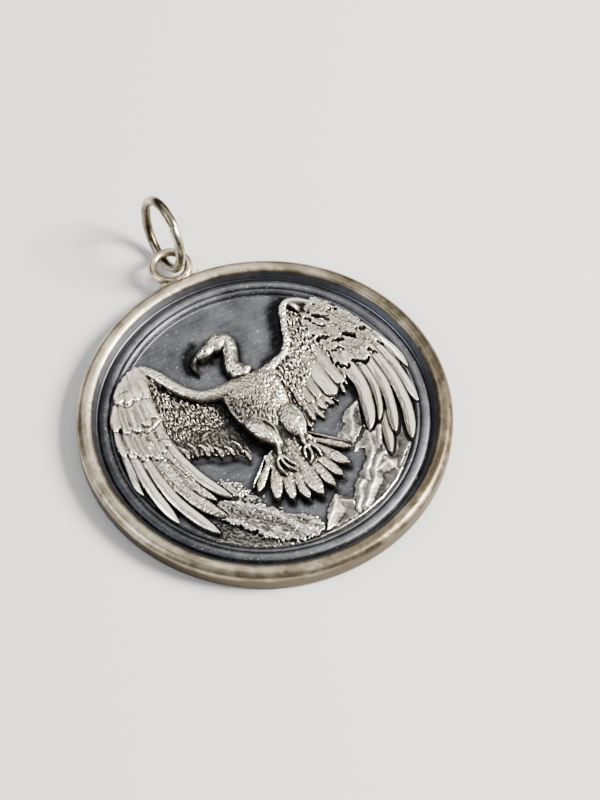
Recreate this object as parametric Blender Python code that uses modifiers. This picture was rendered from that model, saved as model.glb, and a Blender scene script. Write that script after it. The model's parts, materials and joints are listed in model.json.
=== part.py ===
"""A round vulture medal with an eyelet and a swinging jump ring.

Frame: origin at the centre of the flat back, +Z out of the relief side, +Y towards the eyelet.
Lengths are in millimetres here and are scaled to metres where an object is made.
"""

import math

import bmesh
import bpy
from mathutils import Vector

MM = 0.001

# Rim and plate
RIM_RADIUS = 20.75
RIM_THICKNESS = 2.6
RIM_INNER_TOP = 19.25
RIM_INNER_FOOT = 18.55
RIM_EDGE_ROUND = 0.5
BORE_RADIUS = 18.42
WALL_FOOT_Z = 1.7
PLATE_RADIUS = 18.38
FIELD_RADIUS = 16.2
FIELD_Z = 1.3
SEAM_Z = 1.6
TURN_STEPS = 96

# Reliefs on the field
SEAT_GAP = 0.03
WING_THICKNESS = 0.62
TAIL_THICKNESS = 0.7
MOUNTAIN_THICKNESS = 0.36
TORSO_Z = FIELD_Z + 0.55

# Eyelet
EYELET_X = 0.6
EYELET_Y = 22.65
EYELET_Z = RIM_THICKNESS - 0.6
EYELET_HOLE_RADIUS = 1.55
EYELET_WIRE_RADIUS = 0.5
SOLDER_GAP = 0.04
SOLDER_SIDE = 1.8
SOLDER_SIZE = (1.05, 0.6, 0.46)

# Jump ring
RING_RADIUS = 4.1
RING_WIRE_RADIUS = 0.55
RING_CENTRE = (EYELET_X + 0.58, 25.2, RIM_THICKNESS + 2.24)
RING_LEAN = math.radians(6.7)
RING_POINTS = 72
CUT_ANGLE = math.radians(121)
CUT_WIDTH = 0.06

PIVOT = (EYELET_X, EYELET_Y + EYELET_HOLE_RADIUS + EYELET_WIRE_RADIUS, EYELET_Z)


def clear_scene():
    for obj in list(bpy.data.objects):
        bpy.data.objects.remove(obj, do_unlink=True)


def new_collection(name):
    collection = bpy.data.collections.new(name)
    bpy.context.scene.collection.children.link(collection)
    return collection


def new_material(name, colour, roughness):
    material = bpy.data.materials.new(name)
    material.use_nodes = True
    shader = material.node_tree.nodes["Principled BSDF"]
    shader.inputs["Base Color"].default_value = (*colour, 1.0)
    shader.inputs["Roughness"].default_value = roughness
    shader.inputs["Metallic"].default_value = 1.0
    return material


def link(obj, collection, material=None):
    collection.objects.link(obj)
    if material:
        obj.data.materials.append(material)
    return obj


def scaled(points):
    return [Vector(p) * MM for p in points]


def smooth(obj, angle=40):
    obj.data.shade_smooth()
    obj.data.set_sharp_from_angle(angle=math.radians(angle))


def turned(name, profile, collection, material):
    """A solid of revolution about Z from (radius, z) points that start on the axis or close on themselves."""
    mesh = bpy.data.meshes.new(name)
    closed = profile[0][0] > 0
    edges = [(i, i + 1) for i in range(len(profile) - 1)]
    if closed:
        edges.append((len(profile) - 1, 0))
    mesh.from_pydata(scaled((r, 0, z) for r, z in profile), edges, [])
    obj = link(bpy.data.objects.new(name, mesh), collection, material)
    screw = obj.modifiers.new("turn", "SCREW")
    screw.steps = screw.render_steps = TURN_STEPS
    screw.use_merge_vertices = True
    screw.merge_threshold = 0.000001
    screw.use_smooth_shade = True
    return obj


def arc(centre, radius, start, end, count):
    """Points on an arc in the profile plane, angles in degrees from +r towards +z."""
    step = (end - start) / (count - 1)
    angles = [math.radians(start + step * i) for i in range(count)]
    return [(centre[0] + radius * math.cos(a), centre[1] + radius * math.sin(a)) for a in angles]


def flat_solid(name, outline, low, thickness, collection, material=None):
    """A mesh plate with the outline given in the XY plane, from z = low to low + thickness."""
    curve = bpy.data.curves.new(name, "CURVE")
    curve.dimensions = "2D"
    curve.fill_mode = "BOTH"
    curve.extrude = thickness / 2 * MM
    spline = curve.splines.new("POLY")
    spline.points.add(len(outline) - 1)
    for point, (x, y) in zip(spline.points, outline):
        point.co = (x * MM, y * MM, 0, 1)
    spline.use_cyclic_u = True
    return mesh_from_curve(name, curve, (0, 0, low + thickness / 2), collection, material)


def tube(name, points, radii, collection, material=None):
    """A mesh tube through the points, with a radius at each and filled caps."""
    curve = bpy.data.curves.new(name, "CURVE")
    curve.dimensions = "3D"
    curve.bevel_depth = MM
    curve.bevel_resolution = 2
    curve.use_fill_caps = True
    spline = curve.splines.new("POLY")
    spline.points.add(len(points) - 1)
    for point, place, radius in zip(spline.points, points, radii):
        point.co = (*(Vector(place) * MM), 1)
        point.radius = radius
    return mesh_from_curve(name, curve, (0, 0, 0), collection, material)


def mesh_from_curve(name, curve, place, collection, material):
    """Turns the curve into a closed mesh object and removes the curve."""
    source = bpy.data.objects.new(name + "_curve", curve)
    collection.objects.link(source)
    source.location = Vector(place) * MM
    bpy.context.view_layer.update()
    graph = bpy.context.evaluated_depsgraph_get()
    mesh = bpy.data.meshes.new_from_object(source.evaluated_get(graph))
    mesh.name = name
    weld(mesh)
    obj = bpy.data.objects.new(name, mesh)
    obj.matrix_world = source.matrix_world
    bpy.data.objects.remove(source, do_unlink=True)
    return link(obj, collection, material)


def weld(mesh):
    shape = bmesh.new()
    shape.from_mesh(mesh)
    bmesh.ops.remove_doubles(shape, verts=shape.verts, dist=0.0000005)
    bmesh.ops.recalc_face_normals(shape, faces=shape.faces)
    shape.to_mesh(mesh)
    shape.free()


def ellipsoid(name, centre, half_sizes, turn, collection):
    """A faceted ellipsoid whose half sizes lie along its own axes, turned about Z by the angle in degrees."""
    mesh = bpy.data.meshes.new(name)
    shape = bmesh.new()
    bmesh.ops.create_uvsphere(shape, u_segments=20, v_segments=12, radius=1.0)
    bmesh.ops.scale(shape, vec=Vector(half_sizes) * MM, verts=shape.verts)
    shape.to_mesh(mesh)
    shape.free()
    obj = link(bpy.data.objects.new(name, mesh), collection)
    obj.location = Vector(centre) * MM
    obj.rotation_euler = (0, 0, math.radians(turn))
    return obj


def combine(obj, operation, *others):
    for other in others:
        modifier = obj.modifiers.new(other.name, "BOOLEAN")
        modifier.operation = operation
        modifier.object = other
        modifier.solver = "EXACT"
        other.hide_render = True
        other.display_type = "WIRE"
    return obj


def build_rim(parts):
    material = new_material("rim_metal", (0.74, 0.68, 0.56), 0.32)
    top, outer = RIM_THICKNESS, RIM_RADIUS
    r = RIM_EDGE_ROUND
    profile = [(RIM_INNER_FOOT, WALL_FOOT_Z), (RIM_INNER_TOP, top - 0.08), (RIM_INNER_TOP + 0.12, top)]
    profile += arc((outer - r, top - r), r, 90, 0, 5)
    profile += arc((outer - r, r), r, 0, -90, 5)
    profile += [(BORE_RADIUS, 0.0), (BORE_RADIUS, SEAM_Z)]
    return turned("rim_ring", profile, parts, material)


def build_plate(parts):
    material = new_material("field_metal", (0.16, 0.17, 0.19), 0.42)
    profile = [
        (0.0, FIELD_Z),
        (FIELD_RADIUS, FIELD_Z),
        (16.45, FIELD_Z + 0.05),
        (16.9, 1.7),
        (17.1, 1.65),
        (17.6, 1.85),
        (18.2, 1.75),
        (PLATE_RADIUS, SEAM_Z),
        (PLATE_RADIUS, 0.0),
        (0.0, 0.0),
    ]
    return turned("field_plate", profile, parts, material)


def build_mountains(parts, shapes):
    """Both mountain reliefs, and the slightly larger shapes that keep the bird clear of them."""
    low = FIELD_Z + SEAT_GAP
    left_outline = [(-13.6, -8.2), (-12.2, -8.6), (-10.5, -8.0), (-9.6, -7.0), (-9.2, -5.3), (-8.3, -5.2), (-7.7, -7.4)]
    left_outline += [(-6.0, -9.2), (-4.6, -10.6), (-3.4, -12.7), (-1.9, -13.9), (-1.3, -15.2)]
    left_outline += edge_of_field(-100, -148, 9)
    right_outline = [(-0.8, -15.0), (0.4, -13.4), (1.3, -12.7), (2.4, -13.7), (3.3, -13.6), (4.2, -12.0), (5.6, -10.4)]
    right_outline += [(6.9, -8.6), (7.4, -7.0), (6.1, -6.4), (7.6, -4.6), (9.0, -3.9), (10.6, -4.0), (11.4, -7.0)]
    right_outline += [(12.6, -8.6)]
    right_outline += edge_of_field(-38, -92, 10)
    material = new_material("landscape_metal", (0.45, 0.44, 0.42), 0.38)
    hollows = []
    for name, outline in (("mountain_relief_left", left_outline), ("mountain_relief_right", right_outline)):
        flat_solid(name, outline, low, MOUNTAIN_THICKNESS, parts, material)
        hollow = flat_solid(name + "_hollow", outline, low, MOUNTAIN_THICKNESS, shapes)
        grow(hollow.data, SEAT_GAP)
        hollows.append(hollow)
    return hollows


def grow(mesh, margin):
    """Moves every face of a closed mesh outwards by about the margin."""
    shape = bmesh.new()
    shape.from_mesh(mesh)
    shape.normal_update()
    steps = [vert.normal * vert.calc_shell_factor() * margin * MM for vert in shape.verts]
    for vert, step in zip(shape.verts, steps):
        vert.co += step
    shape.to_mesh(mesh)
    shape.free()


def edge_of_field(start, end, count):
    """Points along the field's edge, from one angle to another in degrees."""
    return arc((0, 0), FIELD_RADIUS - 0.15, start, end, count)


def wing_outline(side):
    """The outline of one wing, from the shoulder over the wrist to the tips and back along the fringe."""
    if side < 0:
        points = [(-1.8, 5.4), (-5.0, 6.2), (-7.0, 8.5), (-8.6, 11.4), (-10.0, 12.5), (-11.2, 11.4), (-13.4, 8.8)]
        points += [(-15.1, 5.5), (-15.9, 2.2), (-15.8, -2.8), (-15.4, -3.6), (-14.3, -6.9), (-13.6, -8.3)]
        points += [(-12.9, -6.9), (-11.2, -11.2), (-10.6, -10.6), (-9.9, -8.4), (-8.3, -8.2), (-9.3, -5.4)]
        points += [(-10.2, -1.6), (-8.6, -2.4), (-6.4, -3.7), (-4.4, -4.6), (-2.2, -3.6)]
    else:
        points = [(1.8, 5.3), (4.8, 6.1), (6.5, 7.9), (7.6, 10.4), (8.8, 11.9), (10.0, 12.1), (12.0, 10.7)]
        points += [(14.3, 7.2), (15.7, 3.5), (16.0, -1.0), (15.7, -3.3), (15.2, -3.8), (13.9, -7.8), (13.2, -7.4)]
        points += [(11.3, -11.2), (10.8, -10.9), (9.6, -11.5), (9.1, -10.6), (8.4, -8.2), (9.6, -4.6), (9.7, -1.9)]
        points += [(7.6, -2.9), (4.4, -4.1), (2.4, -3.4)]
    return points


def tail_outline():
    """A fan of round-ended feathers about the root of the tail."""
    root = (0.0, -2.6)
    points = [(-1.6, -2.6)]
    count = 7
    for i in range(count):
        middle = -142 + 104 * i / (count - 1)
        reach = 9.6 - 1.2 * abs(i - 3) / 3
        points += [(root[0] + reach * k * math.cos(math.radians(middle + turn)),
                    root[1] + reach * k * math.sin(math.radians(middle + turn)))
                   for turn, k in ((-7, 0.9), (-3, 0.99), (3, 0.99), (7, 0.9))]
    return points + [(1.6, -2.6)]


def build_vulture(parts, shapes, hollows):
    low = FIELD_Z + SEAT_GAP
    material = new_material("vulture_metal", (0.72, 0.68, 0.58), 0.3)
    bird = flat_solid("vulture_relief", wing_outline(-1), low, WING_THICKNESS, parts, material)
    pieces = [
        flat_solid("right_wing", wing_outline(1), low, WING_THICKNESS + 0.013, shapes),
        flat_solid("tail", tail_outline(), low + 0.007, TAIL_THICKNESS, shapes),
        ellipsoid("torso", (0.1, 2.2, TORSO_Z), (3.3, 5.0, 0.9), 0, shapes),
        ellipsoid("left_thigh", (-2.2, -2.4, TORSO_Z), (1.25, 2.7, 0.75), 8, shapes),
        ellipsoid("right_thigh", (1.9, -2.5, TORSO_Z), (1.3, 2.6, 0.74), -6, shapes),
        ellipsoid("head", (-0.7, 11.0, TORSO_Z + 0.05), (1.7, 1.15, 0.68), -12, shapes),
        tube("neck", [(0.9, 10.8, TORSO_Z), (1.2, 9.4, TORSO_Z), (0.2, 7.8, TORSO_Z), (0.4, 5.5, TORSO_Z)],
             [0.8, 0.75, 0.85, 1.3], shapes),
        tube("beak", [(-1.6, 10.6, TORSO_Z), (-3.1, 10.2, TORSO_Z), (-3.7, 9.0, TORSO_Z)], [0.55, 0.45, 0.3], shapes),
    ]
    combine(bird, "UNION", *pieces)
    slab = cutter_box("seat_slab", (0, 0, low - 5), (60, 60, 10), shapes)
    return combine(bird, "DIFFERENCE", slab, *hollows)


def cutter_box(name, centre, sides, collection):
    mesh = bpy.data.meshes.new(name)
    shape = bmesh.new()
    bmesh.ops.create_cube(shape, size=1.0)
    bmesh.ops.scale(shape, vec=Vector(sides) * MM, verts=shape.verts)
    shape.to_mesh(mesh)
    shape.free()
    obj = link(bpy.data.objects.new(name, mesh), collection)
    obj.location = Vector(centre) * MM
    return obj


def cutter_disc(name, radius, height, collection):
    mesh = bpy.data.meshes.new(name)
    shape = bmesh.new()
    bmesh.ops.create_cone(shape, cap_ends=True, segments=TURN_STEPS * 2, radius1=radius * MM,
                          radius2=radius * MM, depth=height * MM)
    shape.to_mesh(mesh)
    shape.free()
    return link(bpy.data.objects.new(name, mesh), collection)


def build_eyelet(parts, shapes):
    material = new_material("eyelet_metal", (0.74, 0.68, 0.56), 0.3)
    middle = EYELET_HOLE_RADIUS + EYELET_WIRE_RADIUS
    bpy.ops.mesh.primitive_torus_add(
        major_radius=middle * MM, minor_radius=EYELET_WIRE_RADIUS * MM, major_segments=40, minor_segments=12,
        location=Vector((EYELET_X, EYELET_Y, EYELET_Z)) * MM)
    obj = bpy.context.object
    obj.name = obj.data.name = "eyelet"
    for collection in list(obj.users_collection):
        collection.objects.unlink(obj)
    link(obj, parts, material)
    for side in (-1, 1):
        x = EYELET_X + side * SOLDER_SIDE
        y = math.sqrt(RIM_RADIUS**2 - x**2) + 0.2
        foot = ellipsoid(f"solder_{side + 1}", (x, y, EYELET_Z - 0.02), SOLDER_SIZE, 0, shapes)
        combine(obj, "UNION", foot)
    edge = cutter_disc("rim_edge", RIM_RADIUS + SOLDER_GAP, 20, shapes)
    combine(obj, "DIFFERENCE", edge)
    smooth(obj)
    return obj


def build_jump_ring(parts):
    """The ring stands in the YZ plane, leans about Y, and hangs on an empty at the eyelet's outer wire."""
    material = new_material("ring_metal", (0.74, 0.7, 0.6), 0.26)
    half_cut = CUT_WIDTH / 2 / RING_RADIUS
    span = 2 * math.pi - 2 * half_cut
    angles = [CUT_ANGLE + half_cut + span * i / RING_POINTS for i in range(RING_POINTS + 1)]
    points = [(0, RING_RADIUS * math.cos(a), RING_RADIUS * math.sin(a)) for a in angles]
    obj = tube("jump_ring", points, [RING_WIRE_RADIUS] * len(points), parts, material)
    smooth(obj)
    pivot = bpy.data.objects.new("jump_ring_pivot", None)
    parts.objects.link(pivot)
    pivot.location = Vector(PIVOT) * MM
    obj.parent = pivot
    obj.location = (Vector(RING_CENTRE) - Vector(PIVOT)) * MM
    obj.rotation_euler = (0, RING_LEAN, 0)
    return obj


def main():
    clear_scene()
    parts = new_collection("vulture_medal")
    shapes = new_collection("vulture_medal_cutters")
    build_rim(parts)
    build_plate(parts)
    hollows = build_mountains(parts, shapes)
    build_vulture(parts, shapes, hollows)
    build_eyelet(parts, shapes)
    build_jump_ring(parts)


main()
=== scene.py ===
"""The looks of the vulture medal: cast relief, blackened recesses, worn rim, soldered eyelet and wire ring.

The relief is modelled as a height map in code: every feather, fleck and ridge is laid on a fine grid over
the field, and the grid becomes closed meshes. The same heights say where the metal is black and where it is
rubbed bright, and painted highlights and painted shade are laid over that. Lengths are in millimetres and are
scaled to metres in each mesh.
"""

import json
import math

import bpy
import numpy as np
from mathutils import Matrix, Vector


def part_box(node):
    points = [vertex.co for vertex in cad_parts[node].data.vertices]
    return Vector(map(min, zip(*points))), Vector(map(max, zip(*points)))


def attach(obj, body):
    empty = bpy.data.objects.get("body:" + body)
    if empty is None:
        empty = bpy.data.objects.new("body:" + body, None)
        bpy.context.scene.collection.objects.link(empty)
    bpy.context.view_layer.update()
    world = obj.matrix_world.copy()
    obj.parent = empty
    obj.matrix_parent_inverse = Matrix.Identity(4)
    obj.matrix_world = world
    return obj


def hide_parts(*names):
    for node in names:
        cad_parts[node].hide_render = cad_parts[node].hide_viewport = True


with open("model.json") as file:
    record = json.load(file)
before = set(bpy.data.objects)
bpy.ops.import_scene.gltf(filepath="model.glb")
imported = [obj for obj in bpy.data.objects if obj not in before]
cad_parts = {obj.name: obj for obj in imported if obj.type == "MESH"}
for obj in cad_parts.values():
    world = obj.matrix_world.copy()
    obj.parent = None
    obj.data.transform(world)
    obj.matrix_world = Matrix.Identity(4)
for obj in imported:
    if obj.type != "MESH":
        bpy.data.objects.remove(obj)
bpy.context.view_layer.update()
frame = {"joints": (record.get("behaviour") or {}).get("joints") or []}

MM = 0.001
SEAT_GAP = 0.03

# Sizes read from the fixed frame, in millimetres
RIM_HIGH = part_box("rim_ring")[1] / MM
RIM_RADIUS, RIM_TOP = RIM_HIGH.x, RIM_HIGH.z
FIELD_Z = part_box("vulture_relief")[0].z / MM - SEAT_GAP
PLATE_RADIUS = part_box("field_plate")[1].x / MM
EYELET_LOW, EYELET_HIGH = (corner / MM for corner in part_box("eyelet"))
RING_LOW, RING_HIGH = (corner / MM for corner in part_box("jump_ring"))
EYELET_X = frame["joints"][0]["pos_m"][0] / MM

# Sizes that the frame doesn't state, in millimetres
WALL_FOOT_RADIUS = 18.55
WALL_TOP_RADIUS = 19.12
RIM_EDGE_RADIUS = 19.4
FLAT_RADIUS = 16.16
RELIEF_RADIUS = 16.2
DISH_DEPTH = 0.06
EYELET_Y = 22.65
EYELET_WIRE = 0.5
RING_WIRE = 0.55
RING_LEAN = math.radians(6.7)
RING_CUT = math.radians(121)

# How many steps the turned parts have round them
RIM_STEPS = 640
FIELD_STEPS = 560

# Stage and camera
FLOOR_GAP = 0.1
CAMERA_TARGET = (4.115, -0.667, RIM_TOP)
CAMERA_AZIMUTH = -119.913
CAMERA_ELEVATION = 57.581
CAMERA_ROLL = 0.3655
CAMERA_DISTANCE = 291.65
CAMERA_LENS = 119.25

# Relief grid
PITCH = 0.06
GRID_X = (-17.6, 17.6)
GRID_Y = (-16.6, 13.6)
EDGE = 0.11           # how far in from its outline a shape reaches its full height
THINNEST = 0.015      # lower than this, the relief is bare field
SUNK = 0.04           # how far an edge point stands below the field
RELIEF_FOOT = 0.22    # how far each piece's flat underside lies below the field
MOUNTAIN_LEFT, MOUNTAIN_RIGHT, TAIL, LEFT_INNER, RIGHT_INNER, LEFT_WING, RIGHT_WING, BODY = range(1, 9)


# ---------------------------------------------------------------- numbers, noise and curves

def smoothstep(low, high, value):
    """A soft step from 0 at low to 1 at high."""
    t = np.clip((value - low) / (high - low), 0, 1)
    return t * t * (3 - 2 * t)


def blurred(grid, sigma_mm):
    """The grid under a Gaussian blur, with the border repeated."""
    pad = int(3 * sigma_mm / PITCH) + 1
    wide = np.pad(grid, pad, mode="edge")
    fy = np.fft.fftfreq(wide.shape[0], PITCH)[:, None]
    fx = np.fft.rfftfreq(wide.shape[1], PITCH)[None, :]
    kernel = np.exp(-2 * (math.pi * sigma_mm) ** 2 * (fx * fx + fy * fy))
    soft = np.fft.irfft2(np.fft.rfft2(wide) * kernel, s=wide.shape)
    return soft[pad:-pad, pad:-pad]


def lattice(ix, iy, seed):
    """A random number from 0 to 1 for each whole lattice point."""
    n = (ix.astype(np.int64) * 374761393 + iy.astype(np.int64) * 668265263 + seed * 2147483647) & 0xFFFFFFFF
    n = ((n ^ (n >> 13)) * 1274126177) & 0xFFFFFFFF
    n = ((n ^ (n >> 16)) * 2246822519) & 0xFFFFFFFF
    return ((n ^ (n >> 15)) & 0xFFFFFF) / float(0xFFFFFF)


def noise(u, v, seed):
    """Smooth value noise from -1 to 1 with features one unit across."""
    iu, iv = np.floor(u), np.floor(v)
    fu, fv = u - iu, v - iv
    fu, fv = fu * fu * (3 - 2 * fu), fv * fv * (3 - 2 * fv)
    a, b = lattice(iu, iv, seed), lattice(iu + 1, iv, seed)
    c, d = lattice(iu, iv + 1, seed), lattice(iu + 1, iv + 1, seed)
    return 2 * ((a + (b - a) * fu) * (1 - fv) + (c + (d - c) * fu) * fv) - 1


def fractal(u, v, seed):
    """Four octaves of noise, from about -1 to 1."""
    total, size = 0, 1.0
    for octave in range(4):
        total = total + noise(u / size, v / size, seed + octave) * size
        size *= 0.5
    return total / 1.9


def cells(u, v, seed):
    """(distance to the nearest jittered point, its random number, how far back along v it lies)."""
    iu, iv = np.floor(u), np.floor(v)
    best = np.full(np.shape(u), 9.0)
    tone = np.zeros(np.shape(u))
    back = np.zeros(np.shape(u))
    for du in (-1, 0, 1):
        for dv in (-1, 0, 1):
            cu, cv = iu + du, iv + dv
            pu = cu + 0.5 + 0.7 * (lattice(cu, cv, seed) - 0.5)
            pv = cv + 0.5 + 0.7 * (lattice(cu, cv, seed + 1) - 0.5)
            distance = np.hypot(u - pu, v - pv)
            near = distance < best
            best = np.where(near, distance, best)
            tone = np.where(near, lattice(cu, cv, seed + 2), tone)
            back = np.where(near, v - pv, back)
    return best, tone, back


def smooth_path(points, steps=10):
    """A Catmull-Rom curve through the points."""
    p = np.array(points, float)
    p = np.vstack([2 * p[0] - p[1], p, 2 * p[-1] - p[-2]])
    t = np.linspace(0, 1, steps, endpoint=False)[:, None]
    out = []
    for a, b, c, d in zip(p[:-3], p[1:-2], p[2:-1], p[3:]):
        out.append(0.5 * (2 * b + (c - a) * t + (2 * a - 5 * b + 4 * c - d) * t**2
                          + (3 * b - a - 3 * c + d) * t**3))
    out.append(p[-2:-1])
    return np.vstack(out)


def pick(path, share):
    """The point at a share, 0 to 1, of the path's length."""
    path = np.asarray(path, float)
    lengths = np.r_[0, np.cumsum(np.hypot(*np.diff(path, axis=0).T))]
    where = share * lengths[-1]
    return np.array([np.interp(where, lengths, path[:, k]) for k in range(path.shape[1])])


# ---------------------------------------------------------------- the relief grid

class Relief:
    """Heights above the field in mm on a square grid, and which piece each point belongs to."""

    def __init__(self):
        self.xs = np.arange(GRID_X[0], GRID_X[1] + PITCH / 2, PITCH)
        self.ys = np.arange(GRID_Y[0], GRID_Y[1] + PITCH / 2, PITCH)
        self.X, self.Y = np.meshgrid(self.xs, self.ys)
        self.height = np.zeros_like(self.X)
        self.owner = np.zeros(self.X.shape, np.int8)
        self.gloss = np.zeros_like(self.X)
        self.tone = np.zeros_like(self.X)
        self.patina_and_shade = np.zeros_like(self.X)

    def window(self, points, margin):
        """The rows and columns of the grid round some points, with a margin in mm."""
        p = np.asarray(points, float)
        x0, y0 = p.min(0) - margin
        x1, y1 = p.max(0) + margin
        cols = slice(max(0, int((x0 - self.xs[0]) / PITCH)), int((x1 - self.xs[0]) / PITCH) + 2)
        rows = slice(max(0, int((y0 - self.ys[0]) / PITCH)), int((y1 - self.ys[0]) / PITCH) + 2)
        return rows, cols

    def lay(self, area, height, cover, owner, tone=0.0, gloss=0.0):
        """Lays a shape over what is there, where it stands higher, fading by its cover from 0 to 1."""
        old = self.height[area]
        new = old + (height - old) * cover
        higher = (new > old) & (cover > 0)
        self.height[area] = np.where(higher, new, old)
        top = higher & (cover > 0.25)
        self.owner[area] = np.where(top, owner, self.owner[area])
        self.gloss[area] = np.where(top, gloss, self.gloss[area])
        self.tone[area] = np.where(top, tone, self.tone[area])

    def sink(self, area, depth):
        """Carves into what is there, but never below the field."""
        self.height[area] = np.maximum(self.height[area] - depth, np.minimum(self.height[area], 0))


def along(path, X, Y):
    """For each grid point: its share along the path, and its distance from it, positive to the right."""
    best = np.full(X.shape, 1e9)
    share = np.zeros(X.shape)
    side = np.zeros(X.shape)
    lengths = np.r_[0, np.cumsum(np.hypot(*np.diff(path, axis=0).T))]
    for i in range(len(path) - 1):
        (ax, ay), (bx, by) = path[i], path[i + 1]
        dx, dy = bx - ax, by - ay
        square = dx * dx + dy * dy + 1e-12
        t = np.clip(((X - ax) * dx + (Y - ay) * dy) / square, 0, 1)
        ox, oy = X - ax - t * dx, Y - ay - t * dy
        distance = np.hypot(ox, oy)
        near = distance < best
        best = np.where(near, distance, best)
        share = np.where(near, lengths[i] + t * (lengths[i + 1] - lengths[i]), share)
        side = np.where(near, np.sign(ox * dy - oy * dx), side)
    return share / lengths[-1], best * np.where(side == 0, 1, side), lengths[-1]


def inside_distance(outline, X, Y):
    """Distance to a closed outline, positive inside."""
    points = np.asarray(outline, float)
    best = np.full(X.shape, 1e9)
    inside = np.zeros(X.shape, bool)
    for (ax, ay), (bx, by) in zip(points, np.roll(points, -1, axis=0)):
        dx, dy = bx - ax, by - ay
        t = np.clip(((X - ax) * dx + (Y - ay) * dy) / (dx * dx + dy * dy + 1e-12), 0, 1)
        best = np.minimum(best, np.hypot(X - ax - t * dx, Y - ay - t * dy))
        crosses = (ay > Y) != (by > Y)
        inside ^= crosses & (X < ax + (Y - ay) * dx / (dy if abs(dy) > 1e-9 else 1e-9))
    return np.where(inside, best, -best)


def feather(relief, points, width, root, tip, owner, crown=0.12, point=0.9, shaft=0.05, barbs=0.016,
            grain=0.0, gloss=0.0, edge=EDGE, end=1.1, tone=0.0, keel=0.0, fan=0.2, ragged=0.0, moat=0.0):
    """One feather along a curved shaft: crowned vanes, a raised shaft, slanting barbs and a rounded tip.

    keel moves its crown to the right, fan narrows its root, ragged frays its outline and moat cuts a groove
    into what lies beside its tip."""
    path = smooth_path(points, 8)
    area = relief.window(path, width + 0.3)
    X, Y = relief.X[area], relief.Y[area]
    share, side, length = along(path, X, Y)
    from_tip = (1 - share) * length
    tip_length = end * width
    rounding = np.clip(1 - np.clip(1 - from_tip / tip_length, 0, 1) ** (2 * point), 0, 1) ** 0.5
    half = width / 2 * rounding * (1 - fan * (1 - smoothstep(0, 0.6, share)))
    half = half + ragged * noise(X / 0.33, Y / 0.33, 33)
    across = np.abs(side)
    shape = np.clip(np.abs(side / np.maximum(half, 1e-3) + keel), 0, 1.2)
    height = root + (tip - root) * share + crown * (1 - shape**2)
    height = height + shaft * np.exp(-(side / 0.07) ** 2) * (1 - 0.6 * share)
    lines = noise(side / 0.11, share * length / 1.3, 5) + 0.4 * noise(side / 0.2, share * length / 0.5, 6)
    height = height + barbs * lines * smoothstep(0.04, 0.12, across)
    if grain:
        height = height + grain * noise(X * 5.5, Y * 5.5, 31) + 0.6 * grain * noise(X * 11, Y * 11, 32)
    if moat:
        past = np.hypot(X - path[-1, 0], Y - path[-1, 1])
        gap = np.where(share > 0.995, np.minimum(past, across), np.maximum(across - half, 0))
        relief.sink(area, moat * np.exp(-(gap / 0.16) ** 2) * smoothstep(0.45, 0.9, share))
    relief.lay(area, height, smoothstep(0, edge, half - across), owner, tone, gloss)


def feather_row(relief, roots, tips, count, width, root, tip, owner, seed, bow=0.0, **more):
    """Feathers side by side, from points on one line to points on another, with small seeded differences."""
    roots, tips = smooth_path(roots), smooth_path(tips)
    random = np.random.default_rng(seed)
    for i in range(count):
        share = i / max(count - 1, 1)
        a, b = pick(roots, share), pick(tips, share)
        b = b + (b - a) * random.uniform(-0.05, 0.05)
        way = b - a
        middle = (a + b) / 2 + bow * np.array([way[1], -way[0]])
        lift = random.uniform(-0.03, 0.03)
        wide = width * random.uniform(0.9, 1.1)
        feather(relief, [a, middle, b], wide, root + lift, tip + lift, owner, **more)


def swell(relief, centre, sizes, turn, low, high, owner, skin=None, tone=0.0, gloss=0.0, edge=0.16):
    """An egg-shaped swelling. skin adds a surface texture to it."""
    reach = max(sizes)
    area = relief.window([centre], reach + 0.2)
    X, Y = relief.X[area] - centre[0], relief.Y[area] - centre[1]
    c, s = math.cos(math.radians(turn)), math.sin(math.radians(turn))
    u, v = (X * c + Y * s) / sizes[0], (-X * s + Y * c) / sizes[1]
    q = u * u + v * v
    height = low + (high - low) * np.sqrt(np.clip(1 - q, 0, 1))
    if skin is not None:
        height = height + skin(relief.X[area], relief.Y[area])
    cover = smoothstep(0, edge, (1 - np.sqrt(q)) * min(sizes))
    relief.lay(area, height, cover, owner, tone, gloss)


def limb(relief, points, radii, low, highs, owner, skin=None, tone=0.0, gloss=0.0, edge=0.09, power=0.5):
    """A round-backed limb along a path, with a half-width and a ridge height at each point."""
    path = smooth_path(points, 10)
    marks = np.linspace(0, 1, len(radii))
    area = relief.window(path, max(radii) + 0.2)
    X, Y = relief.X[area], relief.Y[area]
    share, side, _ = along(path, X, Y)
    radius = np.interp(share, marks, radii)
    ridge = np.interp(share, marks, highs)
    q = np.clip(np.abs(side) / radius, 0, 1)
    height = low + (ridge - low) * (1 - q * q) ** power
    if skin is not None:
        height = height + skin(X, Y)
    relief.lay(area, height, smoothstep(0, edge, radius - np.abs(side)), owner, tone, gloss)


def beside(relief, points, reach):
    """The part of the grid near a smooth path, with its X and Y, and along() of them."""
    path = smooth_path(points, 6)
    area = relief.window(path, reach)
    X, Y = relief.X[area], relief.Y[area]
    share, side, _ = along(path, X, Y)
    return area, X, Y, share, side


def nick(relief, points, width, depth, ragged=1.1):
    """A ragged black gap along a path."""
    area, X, Y, share, side = beside(relief, points, 2 * width)
    side = side + ragged * width * noise(X / 0.3, Y / 0.3, 71)
    ends = smoothstep(0, 0.12, share) * smoothstep(0, 0.12, 1 - share)
    relief.sink(area, depth * np.exp(-(side / width) ** 4) * ends)


def paint_light_and_wear(relief, points, width, amount):
    """Paints the metal brighter along a path, or darker with a negative amount: painted highlights and
    painted shade, and in places rubbed wear.
    """
    area, X, Y, _, side = beside(relief, points, 2.5 * width)
    side = side + 0.3 * width * noise(X / (2 * width), Y / (2 * width), 72)
    relief.tone[area] += amount * np.exp(-(side / width) ** 2)


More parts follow.
